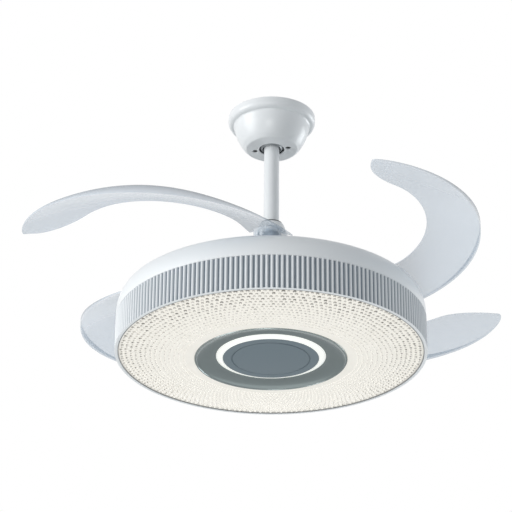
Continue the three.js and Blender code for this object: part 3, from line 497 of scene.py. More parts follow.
def grained(name, colour, roughness, grain_scale, bump, drift=0.04, edge=0.3, dust=0.3, metallic=0.0, **sockets):
    """Finish with grain, drift of tone, corners and dust, which most parts share with their own values."""
    if name in bpy.data.materials:
        return bpy.data.materials[name]
    material, tree, shader = new_material(name, Metallic=metallic, **sockets)
    grain = add_node(tree, "ShaderNodeGroup", {
        "Colour": colour, "Roughness": roughness, "Grain Scale": grain_scale, "Drift": drift,
    }, node_tree=paint_grain_group())
    marks = add_node(tree, "ShaderNodeGroup", {
        "Colour": grain.outputs["Colour"], "Edge Colour": toned(colour, 1.25), "Dust Colour": toned(colour, 0.62),
        "Edge": edge, "Dust": dust,
    }, node_tree=edge_dust_group())
    tree.links.new(marks.outputs["Colour"], shader.inputs["Base Color"])
    tree.links.new(grain.outputs["Roughness"], shader.inputs["Roughness"])
    add_relief(tree, shader, grain.outputs["Height"], bump)
    return material


# ------------ finishes

# Each plain finish by the name of its colour: roughness, grain scale, bump, and its other values
PLAIN_FINISHES = {
    "zinc_steel": (0.34, 420.0, 0.35, dict(drift=0.16, edge=0.5, dust=0.5, metallic=1.0)),
    "dark_steel": (0.4, 420.0, 0.3, dict(drift=0.1, edge=0.6, dust=0.5, metallic=0.8)),
    "bright_steel": (0.36, 420.0, 0.2, dict(drift=0.06, edge=0.4, dust=0.2, metallic=0.45)),
    "cast_grey_metal": (0.38, 260.0, 0.3, dict(drift=0.08, metallic=0.6)),
    "bezel_metal": (0.24, 900.0, 0.08, dict(drift=0.04, edge=0.4, metallic=0.6)),
    "slate_plastic": (0.5, 1100.0, 0.3, dict(drift=0.05, edge=0.25)),
    "dark_trim": (0.42, 500.0, 0.2, dict(drift=0.06)),
    "black_rubber": (0.62, 600.0, 0.5, dict(drift=0.1)),
    "shell_paint": (0.4, 500.0, 0.2, dict(drift=0.04, metallic=0.25)),
    "white_nylon": (0.48, 380.0, 0.25, dict(drift=0.05, Subsurface_Weight=0.05)),
    "board_white": (0.55, 400.0, 0.2, dict(drift=0.03)),
    "magnet": (0.5, 300.0, 0.5, dict(drift=0.12, metallic=0.6)),
}

# Each finish with level bands: colour, colour between the bands, bands' scale, metallic, roughness
RINGED_FINISHES = {
    "copper_wire": (srgb(190, 116, 66), srgb(120, 62, 30), 420.0, 0.9, 0.35),
    "core_sheets": (srgb(128, 132, 136), srgb(70, 73, 78), 620.0, 0.8, 0.45),
}


def plain_finish(name):
    roughness, grain_scale, bump, values = PLAIN_FINISHES[name]
    colour = getattr(bpy.context.scene.fan_finish, name)
    return grained(name.replace("_", " "), colour, roughness, grain_scale, bump, **values)


def ringed_finish(name):
    """Finish with fine level bands: wire turns or stacked sheets."""
    label = name.replace("_", " ")
    if label in bpy.data.materials:
        return bpy.data.materials[label]
    colour, dark, scale, metallic, roughness = RINGED_FINISHES[name]
    material, tree, shader = new_material(label, Metallic=metallic, Roughness=roughness)
    bands = add_node(tree, "ShaderNodeTexWave", {"Vector": object_place(tree), "Scale": scale, "Distortion": 0.4},
                     bands_direction="Z").outputs["Fac"]
    tree.links.new(blend(tree, bands, dark, colour), shader.inputs["Base Color"])
    add_relief(tree, shader, bands, 0.4, 0.2 * MM)
    return material


def enamel():
    finish = bpy.context.scene.fan_finish
    return grained("white enamel", finish.enamel, 0.36, 700.0, 0.12, drift=0.02, edge=0.2, dust=0.25,
                   Coat_Weight=0.25, Coat_Roughness=0.18)


def reeded_enamel():
    """The same paint on the reeds, with painted shade darkening the valleys between them."""
    name = "reeded enamel"
    if name in bpy.data.materials:
        return bpy.data.materials[name]
    finish = bpy.context.scene.fan_finish
    material = grained(name, finish.enamel, 0.42, 700.0, 0.1, drift=0.02, edge=0.0, dust=0.0)
    tree = material.node_tree
    colour = tree.nodes["Principled BSDF"].inputs["Base Color"]
    clean = colour.links[0].from_socket
    tree.links.new(blend(tree, point_value(tree, "Valley"), clean, finish.valley), colour)
    return material


def lens_acrylic():
    """Lit acrylic: warm white with a faint haze, with painted shade darkening a drop's foot and a painted highlight
    brightening its other side and top, in the colour it gives out too.
    """
    name = "lens acrylic"
    if name in bpy.data.materials:
        return bpy.data.materials[name]
    finish = bpy.context.scene.fan_finish
    material, tree, shader = new_material(name, Roughness=0.16, IOR=1.49, Specular_IOR_Level=0.6,
                                          Emission_Strength=bpy.context.scene.fan_lamp.lens_glow)
    place = object_place(tree)
    haze = remap(tree, noise(tree, place, 42.0, 3.0), 0.3, 0.7, high=0.16)
    hazy = blend(tree, haze, finish.lens, finish.lens_haze)
    highlighted = blend(tree, point_value(tree, "Spark"), hazy, finish.crystal_highlight)
    marked = blend(tree, point_value(tree, "Shade"), highlighted, finish.crystal_shade)
    tree.links.new(marked, shader.inputs["Base Color"])
    tree.links.new(marked, shader.inputs["Emission Color"])
    add_relief(tree, shader, noise(tree, place, 520.0, 1.0), 0.2)
    return material


def halo_opal():
    """Opal ring, lit from behind by a row of small lights."""
    name = "opal ring"
    if name in bpy.data.materials:
        return bpy.data.materials[name]
    scene = bpy.context.scene
    material, tree, shader = new_material(name, Roughness=0.4, Base_Color=scene.fan_finish.halo,
                                          Emission_Strength=scene.fan_lamp.halo_glow)
    cloud = noise(tree, object_place(tree), 60.0)
    warm, cool = srgb(255, 252, 240), srgb(250, 255, 252)
    tree.links.new(blend(tree, cloud, warm, cool), shader.inputs["Emission Color"])
    return material


def clear_plastic():
    """Clear blade plastic: pale and see-through, deeper at the Rim, less clear where Thick, faintly rippled."""
    name = "clear blade plastic"
    if name in bpy.data.materials:
        return bpy.data.materials[name]
    finish = bpy.context.scene.fan_finish
    opacity = bpy.context.scene.fan_blade.opacity
    material, tree, shader = new_material(name, IOR=1.45, Specular_IOR_Level=0.35)
    ripple = noise(tree, object_place(tree), 34.0)
    tint = blend(tree, point_value(tree, "Rim"), finish.blade, finish.blade_rim)
    thick = remap(tree, point_value(tree, "Thick"), 0.0, 1.0, opacity, min(1.0, opacity * 1.3))
    tree.links.new(tint, shader.inputs["Base Color"])
    tree.links.new(remap(tree, ripple, 0.0, 1.0, 0.12, 0.24), shader.inputs["Roughness"])
    tree.links.new(thick, shader.inputs["Alpha"])
    add_relief(tree, shader, ripple, 0.1, 1 * MM)
    return material


# ------------ canopy, ball and rod

SCREW_HEAD_HEIGHT = 2.2 * MM
SCREW_DOME = ((0.45, 0.05 * MM), (0.8, 0.3 * MM), (1.0, 1.0 * MM))  # share of the head's radius, height
CROSS_REACH, CROSS_WIDTH, CROSS_DEPTH, CROSS_TURN = 0.55, 0.13, 0.8 * MM, 0.4  # first two: shares of that radius
SCREW_SUNK = 0.9 * MM  # how far a canopy screw's head lies inside the face
CANOPY_TAPER = ((0.21, 0.4), (0.6, 0.79))  # shares of the way in and down along the canopy's side
BALL_BORE, BALL_THROAT = 15.6 * MM, 13.2 * MM
ROD_RADIUS, ROD_WALL = 12.7 * MM, 2 * MM
BELL_CUT = 6.3 * MM  # how far the bell ends below its solid, where the rubber ring sits
BELL_FLARE = ((0.77, 0.13), (0.58, 0.38))  # shares of the bell's radius and height
BELL_WAIST, BELL_WAIST_DROP, BELL_NECK, BELL_NECK_DROP = 27.4 * MM, 28 * MM, 19.2 * MM, 3 * MM
RUBBER_BORE, RUBBER_RADIUS = 12.75 * MM, 18.2 * MM


def pan_screw(name, centre, radius, face, high, shank=2.2 * MM):
    """Screw with a low domed head facing down, a cross cut into it, and its shank above."""
    seat = face + SCREW_HEAD_HEIGHT
    dome = [(radius * share, face + rise) for share, rise in SCREW_DOME]
    screw = turned_piece(name, [(0, face), *dome, (radius, seat), (shank, seat), (shank, high), (0, high)], 28,
                         closed=False, centre=(*centre, 0))
    slots = []
    for turn in (CROSS_TURN, CROSS_TURN + QUARTER_TURN):
        bm = bmesh.new()
        shape = Matrix.Diagonal((radius * CROSS_REACH * 2, radius * CROSS_WIDTH * 2, CROSS_DEPTH * 2, 1))
        bmesh.ops.create_cube(bm, size=1, matrix=Matrix.Translation((*centre, face))
                              @ Matrix.Rotation(turn, 4, "Z") @ shape)
        slots.append(new_piece("cross_cutter", bm))
    return carved(screw, "DIFFERENCE", *slots)


class FAN_OT_canopy(bpy.types.Operator):
    """Builds the canopy with its rounded lip, the two sunk screws and the hanger ball"""

    bl_idname = "fan.canopy"
    bl_label = "Canopy"

    def execute(self, context):
        size = context.scene.fan_canopy
        floor = CANOPY_LOW.z
        cup = turned_piece("canopy_cup", wall_loop(self.outline(size, floor), size.wall))
        screws = []
        for number in (1, 2):
            low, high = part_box(f"canopy_screw_{number}")
            screws.append(((low + high) / 2, high.z))
        carved(cup, "DIFFERENCE", *(round_bar("hole_cutter", size.screw_hole, floor - MM, floor + 4 * MM, 40,
                                              (at.x, at.y, 0)) for at, _ in screws))
        dress(cup, enamel(), MOUNT, "white_enamel", "canopy")
        for number, (at, high) in enumerate(screws, 1):
            screw = pan_screw(f"canopy_screw_head_{number}", (at.x, at.y), size.screw_head, floor + SCREW_SUNK, high)
            dress(screw, plain_finish("dark_steel"), MOUNT, "zinc_steel", f"canopy_screw_{number}")
        self.ball()
        return {"FINISHED"}

    def outline(self, size, floor):
        """Canopy's outer profile, from the hole's edge up to the ceiling."""
        radius, top = CANOPY_HIGH.x, CANOPY_HIGH.z
        ledge_width = shoulder = 1.5 * MM
        lip_end = top - size.lip_height
        waist = lip_end - size.lip_round - shoulder
        ledge = size.waist_radius + ledge_width
        reach = size.waist_radius - size.face_radius
        fall = waist - floor
        lip = [(ledge + (radius - ledge) * math.cos(a), lip_end - size.lip_round * math.sin(a))
               for a in spaced(0, QUARTER_TURN, 10)]
        side = spline([
            (size.waist_radius, waist),
            *((size.waist_radius - inward * reach, waist - down * fall) for inward, down in CANOPY_TAPER),
            (size.face_radius + 0.1 * reach, floor + 1.5 * MM),
        ])
        face = fillet([side[-1], (size.face_radius, floor), (size.hole_radius, floor)], 1.2 * MM, 4)[1:]
        return [Vector(p) for p in ((radius, top), *lip, *side, *face)][::-1]

    def ball(self):
        low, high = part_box("hanger_ball")
        radius, half = high.x, (high.z - low.z) / 2
        edge = math.asin(half / radius)
        face = [(radius * math.cos(a), radius * math.sin(a)) for a in spaced(-edge, edge, 24)]
        skin = turned_piece("hanger_ball_skin", [*face, (BALL_BORE, half), (BALL_THROAT, 0), (BALL_BORE, -half)], 96,
                            centre=(low + high) / 2)
        dress(skin, plain_finish("cast_grey_metal"), "hanger", "cast_grey", "hanger_ball")


class FAN_OT_rod(bpy.types.Operator):
    """Builds the rod, the bell cover at its foot and the rubber ring between them"""

    bl_idname = "fan.rod"
    bl_label = "Rod and bell"

    def execute(self, context):
        tube = box_loop(ROD_RADIUS - ROD_WALL, ROD_RADIUS, ROD_LOW.z, ROD_HIGH.z, 0.5 * MM)
        dress(turned_piece("rod_tube", tube, 96), enamel(), DROP, "white_enamel", "downrod")
        self.bell()
        return {"FINISHED"}

    def bell(self):
        bottom, top, wide = BELL_LOW.z, BELL_HIGH.z, BELL_HIGH.x
        height = top - bottom
        cut = top - BELL_CUT
        flank = spline([
            (wide - 2 * MM, bottom + 0.025 * height),
            *((wide * out, bottom + up * height) for out, up in BELL_FLARE),
            (BELL_WAIST, top - BELL_WAIST_DROP),
            (BELL_NECK, top - BELL_NECK_DROP),
        ])
        flank = [point for point in flank if point.y < cut - 1.6 * MM]
        outline = [(wide, bottom), *flank, (flank[-1].x - 1.3 * MM, cut - 0.4 * MM), (14.0 * MM, cut)]
        bell = turned_piece("bell_skin", wall_loop(fillet(outline, 1.5 * MM, 3), 1.6 * MM))
        dress(bell, enamel(), DROP, "white_shell", "bell_cover")
        ring = turned_piece("bell_rubber_ring", rounded_loop([
            (RUBBER_BORE, cut - 0.3 * MM), (RUBBER_RADIUS, cut - 0.1 * MM), (RUBBER_RADIUS, cut + 2.1 * MM),
            (RUBBER_BORE, cut + 2.6 * MM)], 0.7 * MM), 96)
        ring.data.materials.append(plain_finish("black_rubber"))
        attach(ring, DROP)


# ------------ drum

# One reed's corners: share of the pitch, share of the valley's depth
REED = ((0.0, 0.12), (0.08, 0.0), (0.2, 0.0), (0.28, 0.12), (0.58, 1.0), (0.7, 1.0))
BAND_LIP_CURVE = ((0.1 * MM, 1.0), (0.5 * MM, 0.62), (1.6 * MM, 0.26), (3.2 * MM, 0.04))  # way in, share of the lip
SHOULDER_STRAIGHT = 0.15  # share of the shoulder's height below its curve


class FAN_OT_drum(bpy.types.Operator):
    """Builds the drum's rounded shoulder, the reeded band and the ring that holds the lens"""

    bl_idname = "fan.drum"
    bl_label = "Drum"

    def execute(self, context):
        size = context.scene.fan_drum
        self.shoulder(size)
        self.band(size)
        # The lens ring is dark grey as painted shade, standing for the shadow in the gap between the band and the
        # lens.
        outer, low, high = TRIM_HIGH.x, TRIM_LOW.z, TRIM_HIGH.z
        trim = turned_piece("lens_ring", rounded_loop([
            (outer - 1.0 * MM, low), (outer, low), (outer, high), (outer - 0.9 * MM, high)], 0.3 * MM, 2), 256)
        dress(trim, plain_finish("dark_trim"), DROP, "dark_trim", "rim_trim")
        return {"FINISHED"}

    def shoulder(self, size):
        """Rounded shell whose straight lower end stands on the tops of the reeds."""
        radius = BAND_HIGH.x - 0.1 * MM
        start, top = SHOULDER_LOW.z, SHOULDER_HIGH.z
        mouth = BAND_HIGH.x - size.shoulder_reach
        straight = (top - start) * SHOULDER_STRAIGHT
        curve = [(mouth + (radius - mouth) * math.cos(a), start + straight + (top - start - straight) * math.sin(a))
                 for a in spaced(0, QUARTER_TURN, 32)]
        outline = [(radius, BAND_HIGH.z), *curve, (mouth - size.mouth_lip, top)]
        shell = turned_piece("drum_shoulder_shell", wall_loop(outline, size.shoulder_wall), 256)
        dress(shell, enamel(), DROP, "white_shell", "drum_shoulder")

    def band(self, size):
        """Upright reeds with flat ridges and straight flanks, over a plain rounded lip."""
        radius, low, high = BAND_HIGH.x, BAND_LOW.z, BAND_HIGH.z
        inner = radius - size.band_wall
        lip = size.band_lip
        pitch = 2 * math.pi / size.reed_count
        plan = [(pitch * (reed + share), dip) for reed in range(size.reed_count) for share, dip in REED]
        bm = bmesh.new()
        # Painted shade mask: how deep each point lies in a valley between the reeds.
        valley = bm.verts.layers.float.new("Valley")

        def ring(height, at, deep=0.0):
            loop = []
            for angle, dip in plan:
                reach = at - dip * deep
                vert = bm.verts.new((reach * math.cos(angle), reach * math.sin(angle), height))
                vert[valley] = dip if deep else 0.0
                loop.append(vert)
            return loop

        rings = [ring(high, radius, size.reed_depth), ring(low + lip, radius, size.reed_depth),
                 *(ring(low + share * lip, radius - inward) for inward, share in BAND_LIP_CURVE),
                 ring(low, inner + 0.4 * MM), ring(low + 0.5 * MM, inner), ring(high, inner)]
        for first, second in zip(rings, rings[1:] + rings[:1]):
            bridge(bm, first, second)
        band = new_piece("reeded_band", bm, 25.0)
        dress(band, reeded_enamel(), DROP, "fluted_side", "fluted_band")


# ------------ lamp

LENS_WALL = 3 * MM
GAP = 0.3 * MM  # between lens, bezel, light ring and disc
DROP_CORNERS, DROP_LEVELS = 10, 3
# Painted shade and painted highlight at each level of a drop, and the painted highlight at its top.
DROP_SHADE, DROP_HIGHLIGHT, TOP_HIGHLIGHT = (1.0, 1.0, 0.35), (0.1, 0.25, 0.35), 0.3  # from foot to top
DROP_SUNK = 0.3 * MM  # how far a drop's foot goes into the lens
WEAK_DROP = (0.8, 0.85, 0.75)  # width, height and shade of every other row


def lens_height(radius):
    """Height of the lens's lower face at a radius."""
    inner, outer = BEZEL_HIGH.x, LENS_HIGH.x
    share = (radius - inner) / (outer - inner)
    edge = LENS_HIGH.z - LENS_WALL
    return edge - (edge - LENS_LOW.z) * (1 - share ** 2)


class FAN_OT_lens(bpy.types.Operator):
    """Builds the domed lens and its rows of crystal drops"""

    bl_idname = "fan.lens"
    bl_label = "Lens"

    def execute(self, context):
        size = context.scene.fan_lamp
        inner, outer = BEZEL_HIGH.x + GAP, LENS_HIGH.x
        lower = [(radius, lens_height(radius)) for radius in spaced(inner, outer, 24)]
        upper = [(radius, height + LENS_WALL) for radius, height in lower][::-1]
        plate = turned_piece("lens_plate", [*lower, *upper], 256, smooth_angle=50.0)
        dress(plate, lens_acrylic(), DROP, "lens_crystal", "lens")
        drops = new_piece("lens_drops", self.drops(size, outer), 80.0)
        dress(drops, lens_acrylic(), DROP, "lens_crystal")
        return {"FINISHED"}

    def drops(self, size, outer):
        """Crystal drops in rings, smaller towards the bezel, with their painted shade fainter there."""
        bm = bmesh.new()
        marks = bm.verts.layers.float.new("Shade"), bm.verts.layers.float.new("Spark")
        chance = random.Random(11)
        first = outer - size.border - size.drop_radius
        rings = int((first - size.plain_radius) / size.drop_pitch) + 1
        for ring in range(rings):
            scale = max(0.6, 1 - 0.045 * ring)
            fade = min(1.0, 1.25 - ring / rings)
            for row in range(size.drop_rows):
                width, height, shade = (1.0, 1.0, 1.0) if row % 2 == 0 else WEAK_DROP
                angle = 2 * math.pi * (row + 0.5 * (ring % 2)) / size.drop_rows
                angle += chance.uniform(-0.16, 0.16) * math.pi / size.drop_rows
                radius = first - ring * size.drop_pitch + chance.uniform(-0.8, 0.8) * MM
                wide = size.drop_radius * scale * chance.uniform(0.85, 1.05) * width
                tall = size.drop_height * scale * height
                deep = fade * chance.uniform(0.6, 1.0) * shade
                self.drop(bm, marks, (radius, angle), (wide, tall), deep)
        return bm

    def drop(self, bm, marks, place, size, deep):
        """One drop, with painted shade at its foot on the side away from the axis and a painted highlight on the
        other side and at its top.
        """
        (radius, angle), (wide, tall), (shade, highlight) = place, size, marks
        out = Vector((math.cos(angle), math.sin(angle), 0))
        along = Vector((-out.y, out.x, 0))
        loops = []
        for level in range(DROP_LEVELS):
            lift = level / DROP_LEVELS * QUARTER_TURN
            reach = wide * math.cos(lift) ** 0.8
            rise = tall * math.sin(lift) - (DROP_SUNK if level == 0 else 0)
            loop = []
            for k in range(DROP_CORNERS):
                turn = 2 * math.pi * k / DROP_CORNERS
                foot = radius + reach * math.cos(turn)
                at = out * foot + along * reach * math.sin(turn)
                vert = bm.verts.new((at.x, at.y, lens_height(foot) - rise))
                outward = clamp(math.cos(turn) + 0.6) ** 0.7
                vert[shade] = min(1.0, deep * outward * DROP_SHADE[level])
                vert[highlight] = max(0.0, -math.cos(turn)) * DROP_HIGHLIGHT[level]
                loop.append(vert)
            loops.append(loop)
        for low, high in zip(loops, loops[1:]):
            bridge(bm, low, high)
        peak = out * radius
        top = bm.verts.new((peak.x, peak.y, lens_height(radius) - tall))
        top[highlight] = TOP_HIGHLIGHT
        fan_faces(bm, loops[-1], top)
        bm.faces.new(loops[0])


class FAN_OT_centre(bpy.types.Operator):
    """Builds the bowl of the bezel, the light ring and the centre disc"""

    bl_idname = "fan.centre"
    bl_label = "Centre"

    def execute(self, context):
        size = context.scene.fan_lamp
        self.bezel(size)
        self.halo(BEZEL_LOW.z + size.bowl_depth)
        self.disc(size)
        return {"FINISHED"}

    def bezel(self, size):
        """Bowl whose side rounds up from a thin rim to the flat that carries the light ring."""
        radius, floor, inner = BEZEL_HIGH.x, BEZEL_LOW.z, HALO_HIGH.x + GAP
        rim_height, rim_width, back = 5 * MM, 1.8 * MM, floor + size.bowl_depth + 1.8 * MM
        start, flat = radius - 2.0 * MM, radius - size.bowl_side
        bowl = [(flat + (start - flat) * math.cos(a), floor + GAP + (size.bowl_depth - 2 * GAP) * math.sin(a))
                for a in spaced(QUARTER_TURN, 0, 12)]
        bezel = turned_piece("bezel_bowl", [
            (radius - 1.4 * MM, floor), (radius - 0.4 * MM, floor + GAP), (radius, floor + 1.2 * MM),
            (radius, floor + rim_height), (radius - rim_width, floor + rim_height), (flat + 3 * MM, back),
            (inner, back), (inner, floor + size.bowl_depth - GAP), *bowl], 192)
        dress(bezel, plain_finish("bezel_metal"), DROP, "bezel_metal", "bezel")

    def halo(self, top):
        """Opal ring that slopes down from its outer edge to the disc."""
        outer, inner, low, wall = HALO_HIGH.x, DISC_HIGH.x + GAP, HALO_LOW.z, 2.2 * MM
        ring = turned_piece("light_ring", rounded_loop([
            (outer, top), (outer, top + wall), (outer - 3 * MM, top + wall), (inner, low + wall), (inner, low),
            ((outer + inner) / 2, top - (top - low) * 0.55)], 0.6 * MM), 192)
        dress(ring, halo_opal(), DROP, "halo_opal", "halo_ring")

    def disc(self, size):
        """Flat cap with a narrow groove round its slightly lower middle."""
        outer, low, high = DISC_HIGH.x, DISC_LOW.z, DISC_HIGH.z
        step, face, groove = size.step_radius, low + 0.5 * MM, low + 1.9 * MM
        outline = fillet([
            (0, low), (step - 0.6 * MM, low), (step, groove), (step + 1.2 * MM, groove), (step + 1.8 * MM, face),
            (outer - 0.8 * MM, face), (outer, face + 0.8 * MM), (outer, high), (0, high),
        ], 0.4 * MM, 3)
        disc = turned_piece("centre_cap", outline, 160, closed=False)
        dress(disc, plain_finish("slate_plastic"), DROP, "disc_grey", "centre_disc")


# ------------ blades

# Plan of a blade: a sickle about its own centre, from the root angle to the tip angle (mm, degrees)
PIVOT_CIRCLE = 200
SICKLE_CENTRE = (73, -162.5)
ROOT_ANGLE, TIP_ANGLE = 53, -71.5
INNER_RADIUS, OUTER_RADIUS, TIP_RADIUS = 169.5, 243.5, 238
BULGE, BULGE_ANGLE, BULGE_SPREAD = 14, -42, 52.5
ROOT_FLARE, ROOT_FLARE_SPREAD = 8, 11
INNER_ROUND, OUTER_ROUND = -47.5, -38.5
ROOT_HEIGHT, TIP_HEIGHT = 100, 138
TWIST_RISE, TIP_RISE, TWIST_POWER, CAMBER_POWER = 29, 2, 5, 1.6
LIP_LEAST, LIP_ANGLE, LIP_SPREAD = 0.6, -4.5, 30
FOOT_OFFSET, FOOT_RADIUS = (-18, -16), 12
BOSS_RADIUS, BOSS_LOW, BOSS_HIGH, POCKET_RADIUS, POCKET_DEPTH, BORE_RADIUS = 15.7, 92.3, 121, 12.3, 8, 6.3
CUTTER_BELOW, CUTTER_ABOVE = 4, 30  # how far the bore's cutter passes the boss
TIP_CLOSE, STATION_POWER = 0.996, 1.7  # share of the blade that has sections, and how they crowd at the tip
SCREW_SHIFTS, SCREW_RADIUS, SCREW_SHANK = (-5.5, 5.5), 2.3, 1.5
PIVOT = Vector((PIVOT_CIRCLE, 0))
AHEAD = Vector(FOOT_OFFSET).normalized()


def swell(angle, middle, spread):
    """Bell curve: 1 at its middle, falling away on both sides."""
    return math.exp(-(((angle - middle) / spread) ** 2))


def rounding(angle, start):
    """Quarter-ellipse share: 1 where the rounding starts, 0 at the tip."""
    return math.sqrt(clamp(1 - (max(0.0, start - angle) / (start - TIP_ANGLE)) ** 2))


def sickle_angle(along):
    return ROOT_ANGLE + (TIP_ANGLE - ROOT_ANGLE) * along


def edge_radii(angle):
    """Radii of the inner and the outer edge at an angle."""
    inner = INNER_RADIUS - ROOT_FLARE * swell(angle, ROOT_ANGLE, ROOT_FLARE_SPREAD)
    outer = OUTER_RADIUS + BULGE * swell(angle, BULGE_ANGLE, BULGE_SPREAD)
    return (TIP_RADIUS + (inner - TIP_RADIUS) * rounding(angle, INNER_ROUND),
            TIP_RADIUS + (outer - TIP_RADIUS) * rounding(angle, OUTER_ROUND))


def blade_point(along, across):
    """Point of blade 1's middle surface, along from root 0 to tip 1, across from inner 0 to outer 1 (mm)."""
    angle = sickle_angle(along)
    inner, outer = edge_radii(angle)
    radius = inner + (outer - inner) * across
    rise = TWIST_RISE * (1 - max(0.0, along) ** TWIST_POWER) + TIP_RISE
    height = ROOT_HEIGHT + (TIP_HEIGHT - ROOT_HEIGHT) * along + rise * (1 - max(0.0, across) ** CAMBER_POWER)
    turn = math.radians(angle)
    return Vector((SICKLE_CENTRE[0] + radius * math.cos(turn), SICKLE_CENTRE[1] + radius * math.sin(turn), height))


def blade_share(at):
    """Along and across shares of a point, from its plan."""
    out = Vector((at.x - SICKLE_CENTRE[0], at.y - SICKLE_CENTRE[1]))
    angle = math.degrees(math.atan2(out.y, out.x))
    inner, outer = edge_radii(angle)
    return (angle - ROOT_ANGLE) / (TIP_ANGLE - ROOT_ANGLE), (out.length - inner) / max(outer - inner, 1e-3)


def nearest_blade_point(at, along_least=0.0, across_least=0.0):
    """Point of the middle surface over a plan point, kept within the blade."""
    along, across = blade_share(at)
    return blade_point(clamp(along, along_least), clamp(across, across_least))


def turned_copy(pattern, name, turn):
    mesh = pattern.data.copy()
    mesh.transform(turn)
    return link_object(name, mesh)


class FAN_OT_blades(bpy.types.Operator):
    """Builds the four clear blades with their lips, root feet, bosses and screws"""

    bl_idname = "fan.blades"
    bl_label = "Blades"

    def execute(self, context):
        pattern = self.pattern(context.scene.fan_blade)
        screws = [self.foot_screw(shift) for shift in SCREW_SHIFTS]
        for number in BLADE_NUMBERS:
            turn = Matrix.Rotation(-QUARTER_TURN * (number - 1), 4, "Z")
            body = f"blade_unit_{number}"
            blade = turned_copy(pattern, f"blade_sheet_{number}", turn)
            dress(blade, clear_plastic(), body, "clear_blade", f"blade_{number}")
            for letter, screw in zip("ab", screws):
                dress(turned_copy(screw, f"foot_screw_{number}{letter}", turn), plain_finish("dark_steel"), body,
                      "zinc_steel")
        for spare in (pattern, *screws):
            bpy.data.objects.remove(spare)
        return {"FINISHED"}

    def pattern(self, size):
        """Blade 1 in one mesh, bored and pocketed, with the Rim and Thick shares of each point."""
        centre = (*PIVOT, 0)
        boss = turned_piece("boss", box_loop(0.5, BOSS_RADIUS, BOSS_LOW, BOSS_HIGH, 0.7, 3), 64, centre=centre)
        top = BOSS_HIGH + CUTTER_ABOVE
        bore = round_bar("bore", BORE_RADIUS, BOSS_LOW - CUTTER_BELOW, top, 40, centre)
        pocket = round_bar("pocket", POCKET_RADIUS, BOSS_HIGH - POCKET_DEPTH, top, 48, centre)
        blade = carved(self.skin(size), "UNION", self.foot(), boss)
        blade = carved(blade, "DIFFERENCE", bore, pocket)
        shares = [self.shares(point.co) for point in blade.data.vertices]
        for name, values in zip(("Rim", "Thick"), zip(*shares)):
            marks = blade.data.attributes.new(name, "FLOAT", "POINT")
            marks.data.foreach_set("value", values)
        blade.data.transform(Matrix.Translation((0, 0, RIM_PLANE)) @ Matrix.Scale(MM, 4))
        return blade

    def shares(self, at):
        """How much a point belongs to the lip, and how thick the plastic looks there."""
        lip_start, lip_full, lip_across, foot_depth, foot_share = 1.2, 3, 0.9, 3, 0.75
        above = at.z - nearest_blade_point(at).z
        lip = clamp((above - lip_start) / lip_full) if blade_share(at)[1] > lip_across else 0.0
        return lip, max(lip, foot_share if above < -foot_depth else 0.0)

    def section(self, size, along):
        """Points round one section: upper face out to the lip's top, and back along the lower face."""
        edge, middle, wall = size.edge / MM, size.middle / MM, size.lip_wall / MM
        width = max((blade_point(along, 0) - blade_point(along, 1)).length, 1e-3)
        foot = max(0.0, 1 - wall / width)
        half_edge = Vector((0, 0, edge / 2))
        tall = Vector((0, 0, edge / 2 + LIP_LEAST
                       + size.lip_height / MM * swell(sickle_angle(along), LIP_ANGLE, LIP_SPREAD)))
        upper, lower = [], []
        for j in range(size.strips + 1):
            across = foot * j / size.strips
            half = Vector((0, 0, (edge + (middle - edge) * 4 * across * (1 - across)) / 2))
            at = blade_point(along, across)
            upper.append(at + half)
            lower.append(at - half)
        inside, outside = blade_point(along, foot + (1 - foot) * 0.3), blade_point(along, 1)
        upper += [inside + tall, outside + tall]
        lower += [blade_point(along, foot + (1 - foot) * 0.5) - half_edge, outside - half_edge]
        return upper + lower[::-1]

    def skin(self, size):
        """Sheet with its turned-up lip, from the root to the tip."""
        bm = bmesh.new()
        loops = []
        for i in range(size.stations + 1):
            along = 1 - (1 - TIP_CLOSE * i / size.stations) ** STATION_POWER
            loops.append([bm.verts.new(at) for at in self.section(size, along)])
        for low, high in zip(loops, loops[1:]):
            bridge(bm, low, high)
        count = len(loops[0])
        for loop in (loops[0], loops[-1]):
            for k in range(count // 2 - 1):
                bm.faces.new([loop[k], loop[k + 1], loop[count - 2 - k], loop[count - 1 - k]])
        return new_piece("sheet", bm, 40.0)

    def foot(self):
        """Foot from the boss out under the sheet's inner root corner, as tall as the sheet above it."""
        centre = PIVOT + Vector(FOOT_OFFSET)
        side = Vector((-AHEAD.y, AHEAD.x))
        plan = [centre + AHEAD * FOOT_RADIUS * math.sin(a) + side * FOOT_RADIUS * math.cos(a)
                for a in spaced(0, math.pi, 16)]
        plan += [PIVOT - side * (BOSS_RADIUS - 1), PIVOT + AHEAD * 9, PIVOT + side * (BOSS_RADIUS - 1)]
        bm = bmesh.new()
        low, high = [], []
        for at in plan:
            kept = nearest_blade_point(at, 0.002, 0.004)
            low.append(bm.verts.new((kept.x, kept.y, BOSS_LOW)))
            high.append(bm.verts.new(kept))
        bridge(bm, low, high)
        bm.faces.new(low[::-1])
        fan_faces(bm, high, bm.verts.new(sum((v.co for v in high), Vector()) / len(plan)))
        return new_piece("foot", bm, 40.0)

    def foot_screw(self, shift):
        """Small screw up through the foot into the sheet."""
        at = PIVOT + Vector(FOOT_OFFSET) + AHEAD * shift
        top = blade_point(*blade_share(at)).z
        return pan_screw("foot_screw", (at.x * MM, at.y * MM), SCREW_RADIUS * MM, RIM_PLANE + (top - 10) * MM,
                         RIM_PLANE + (top - 1) * MM, SCREW_SHANK * MM)


# ------------ parts kept from the frame

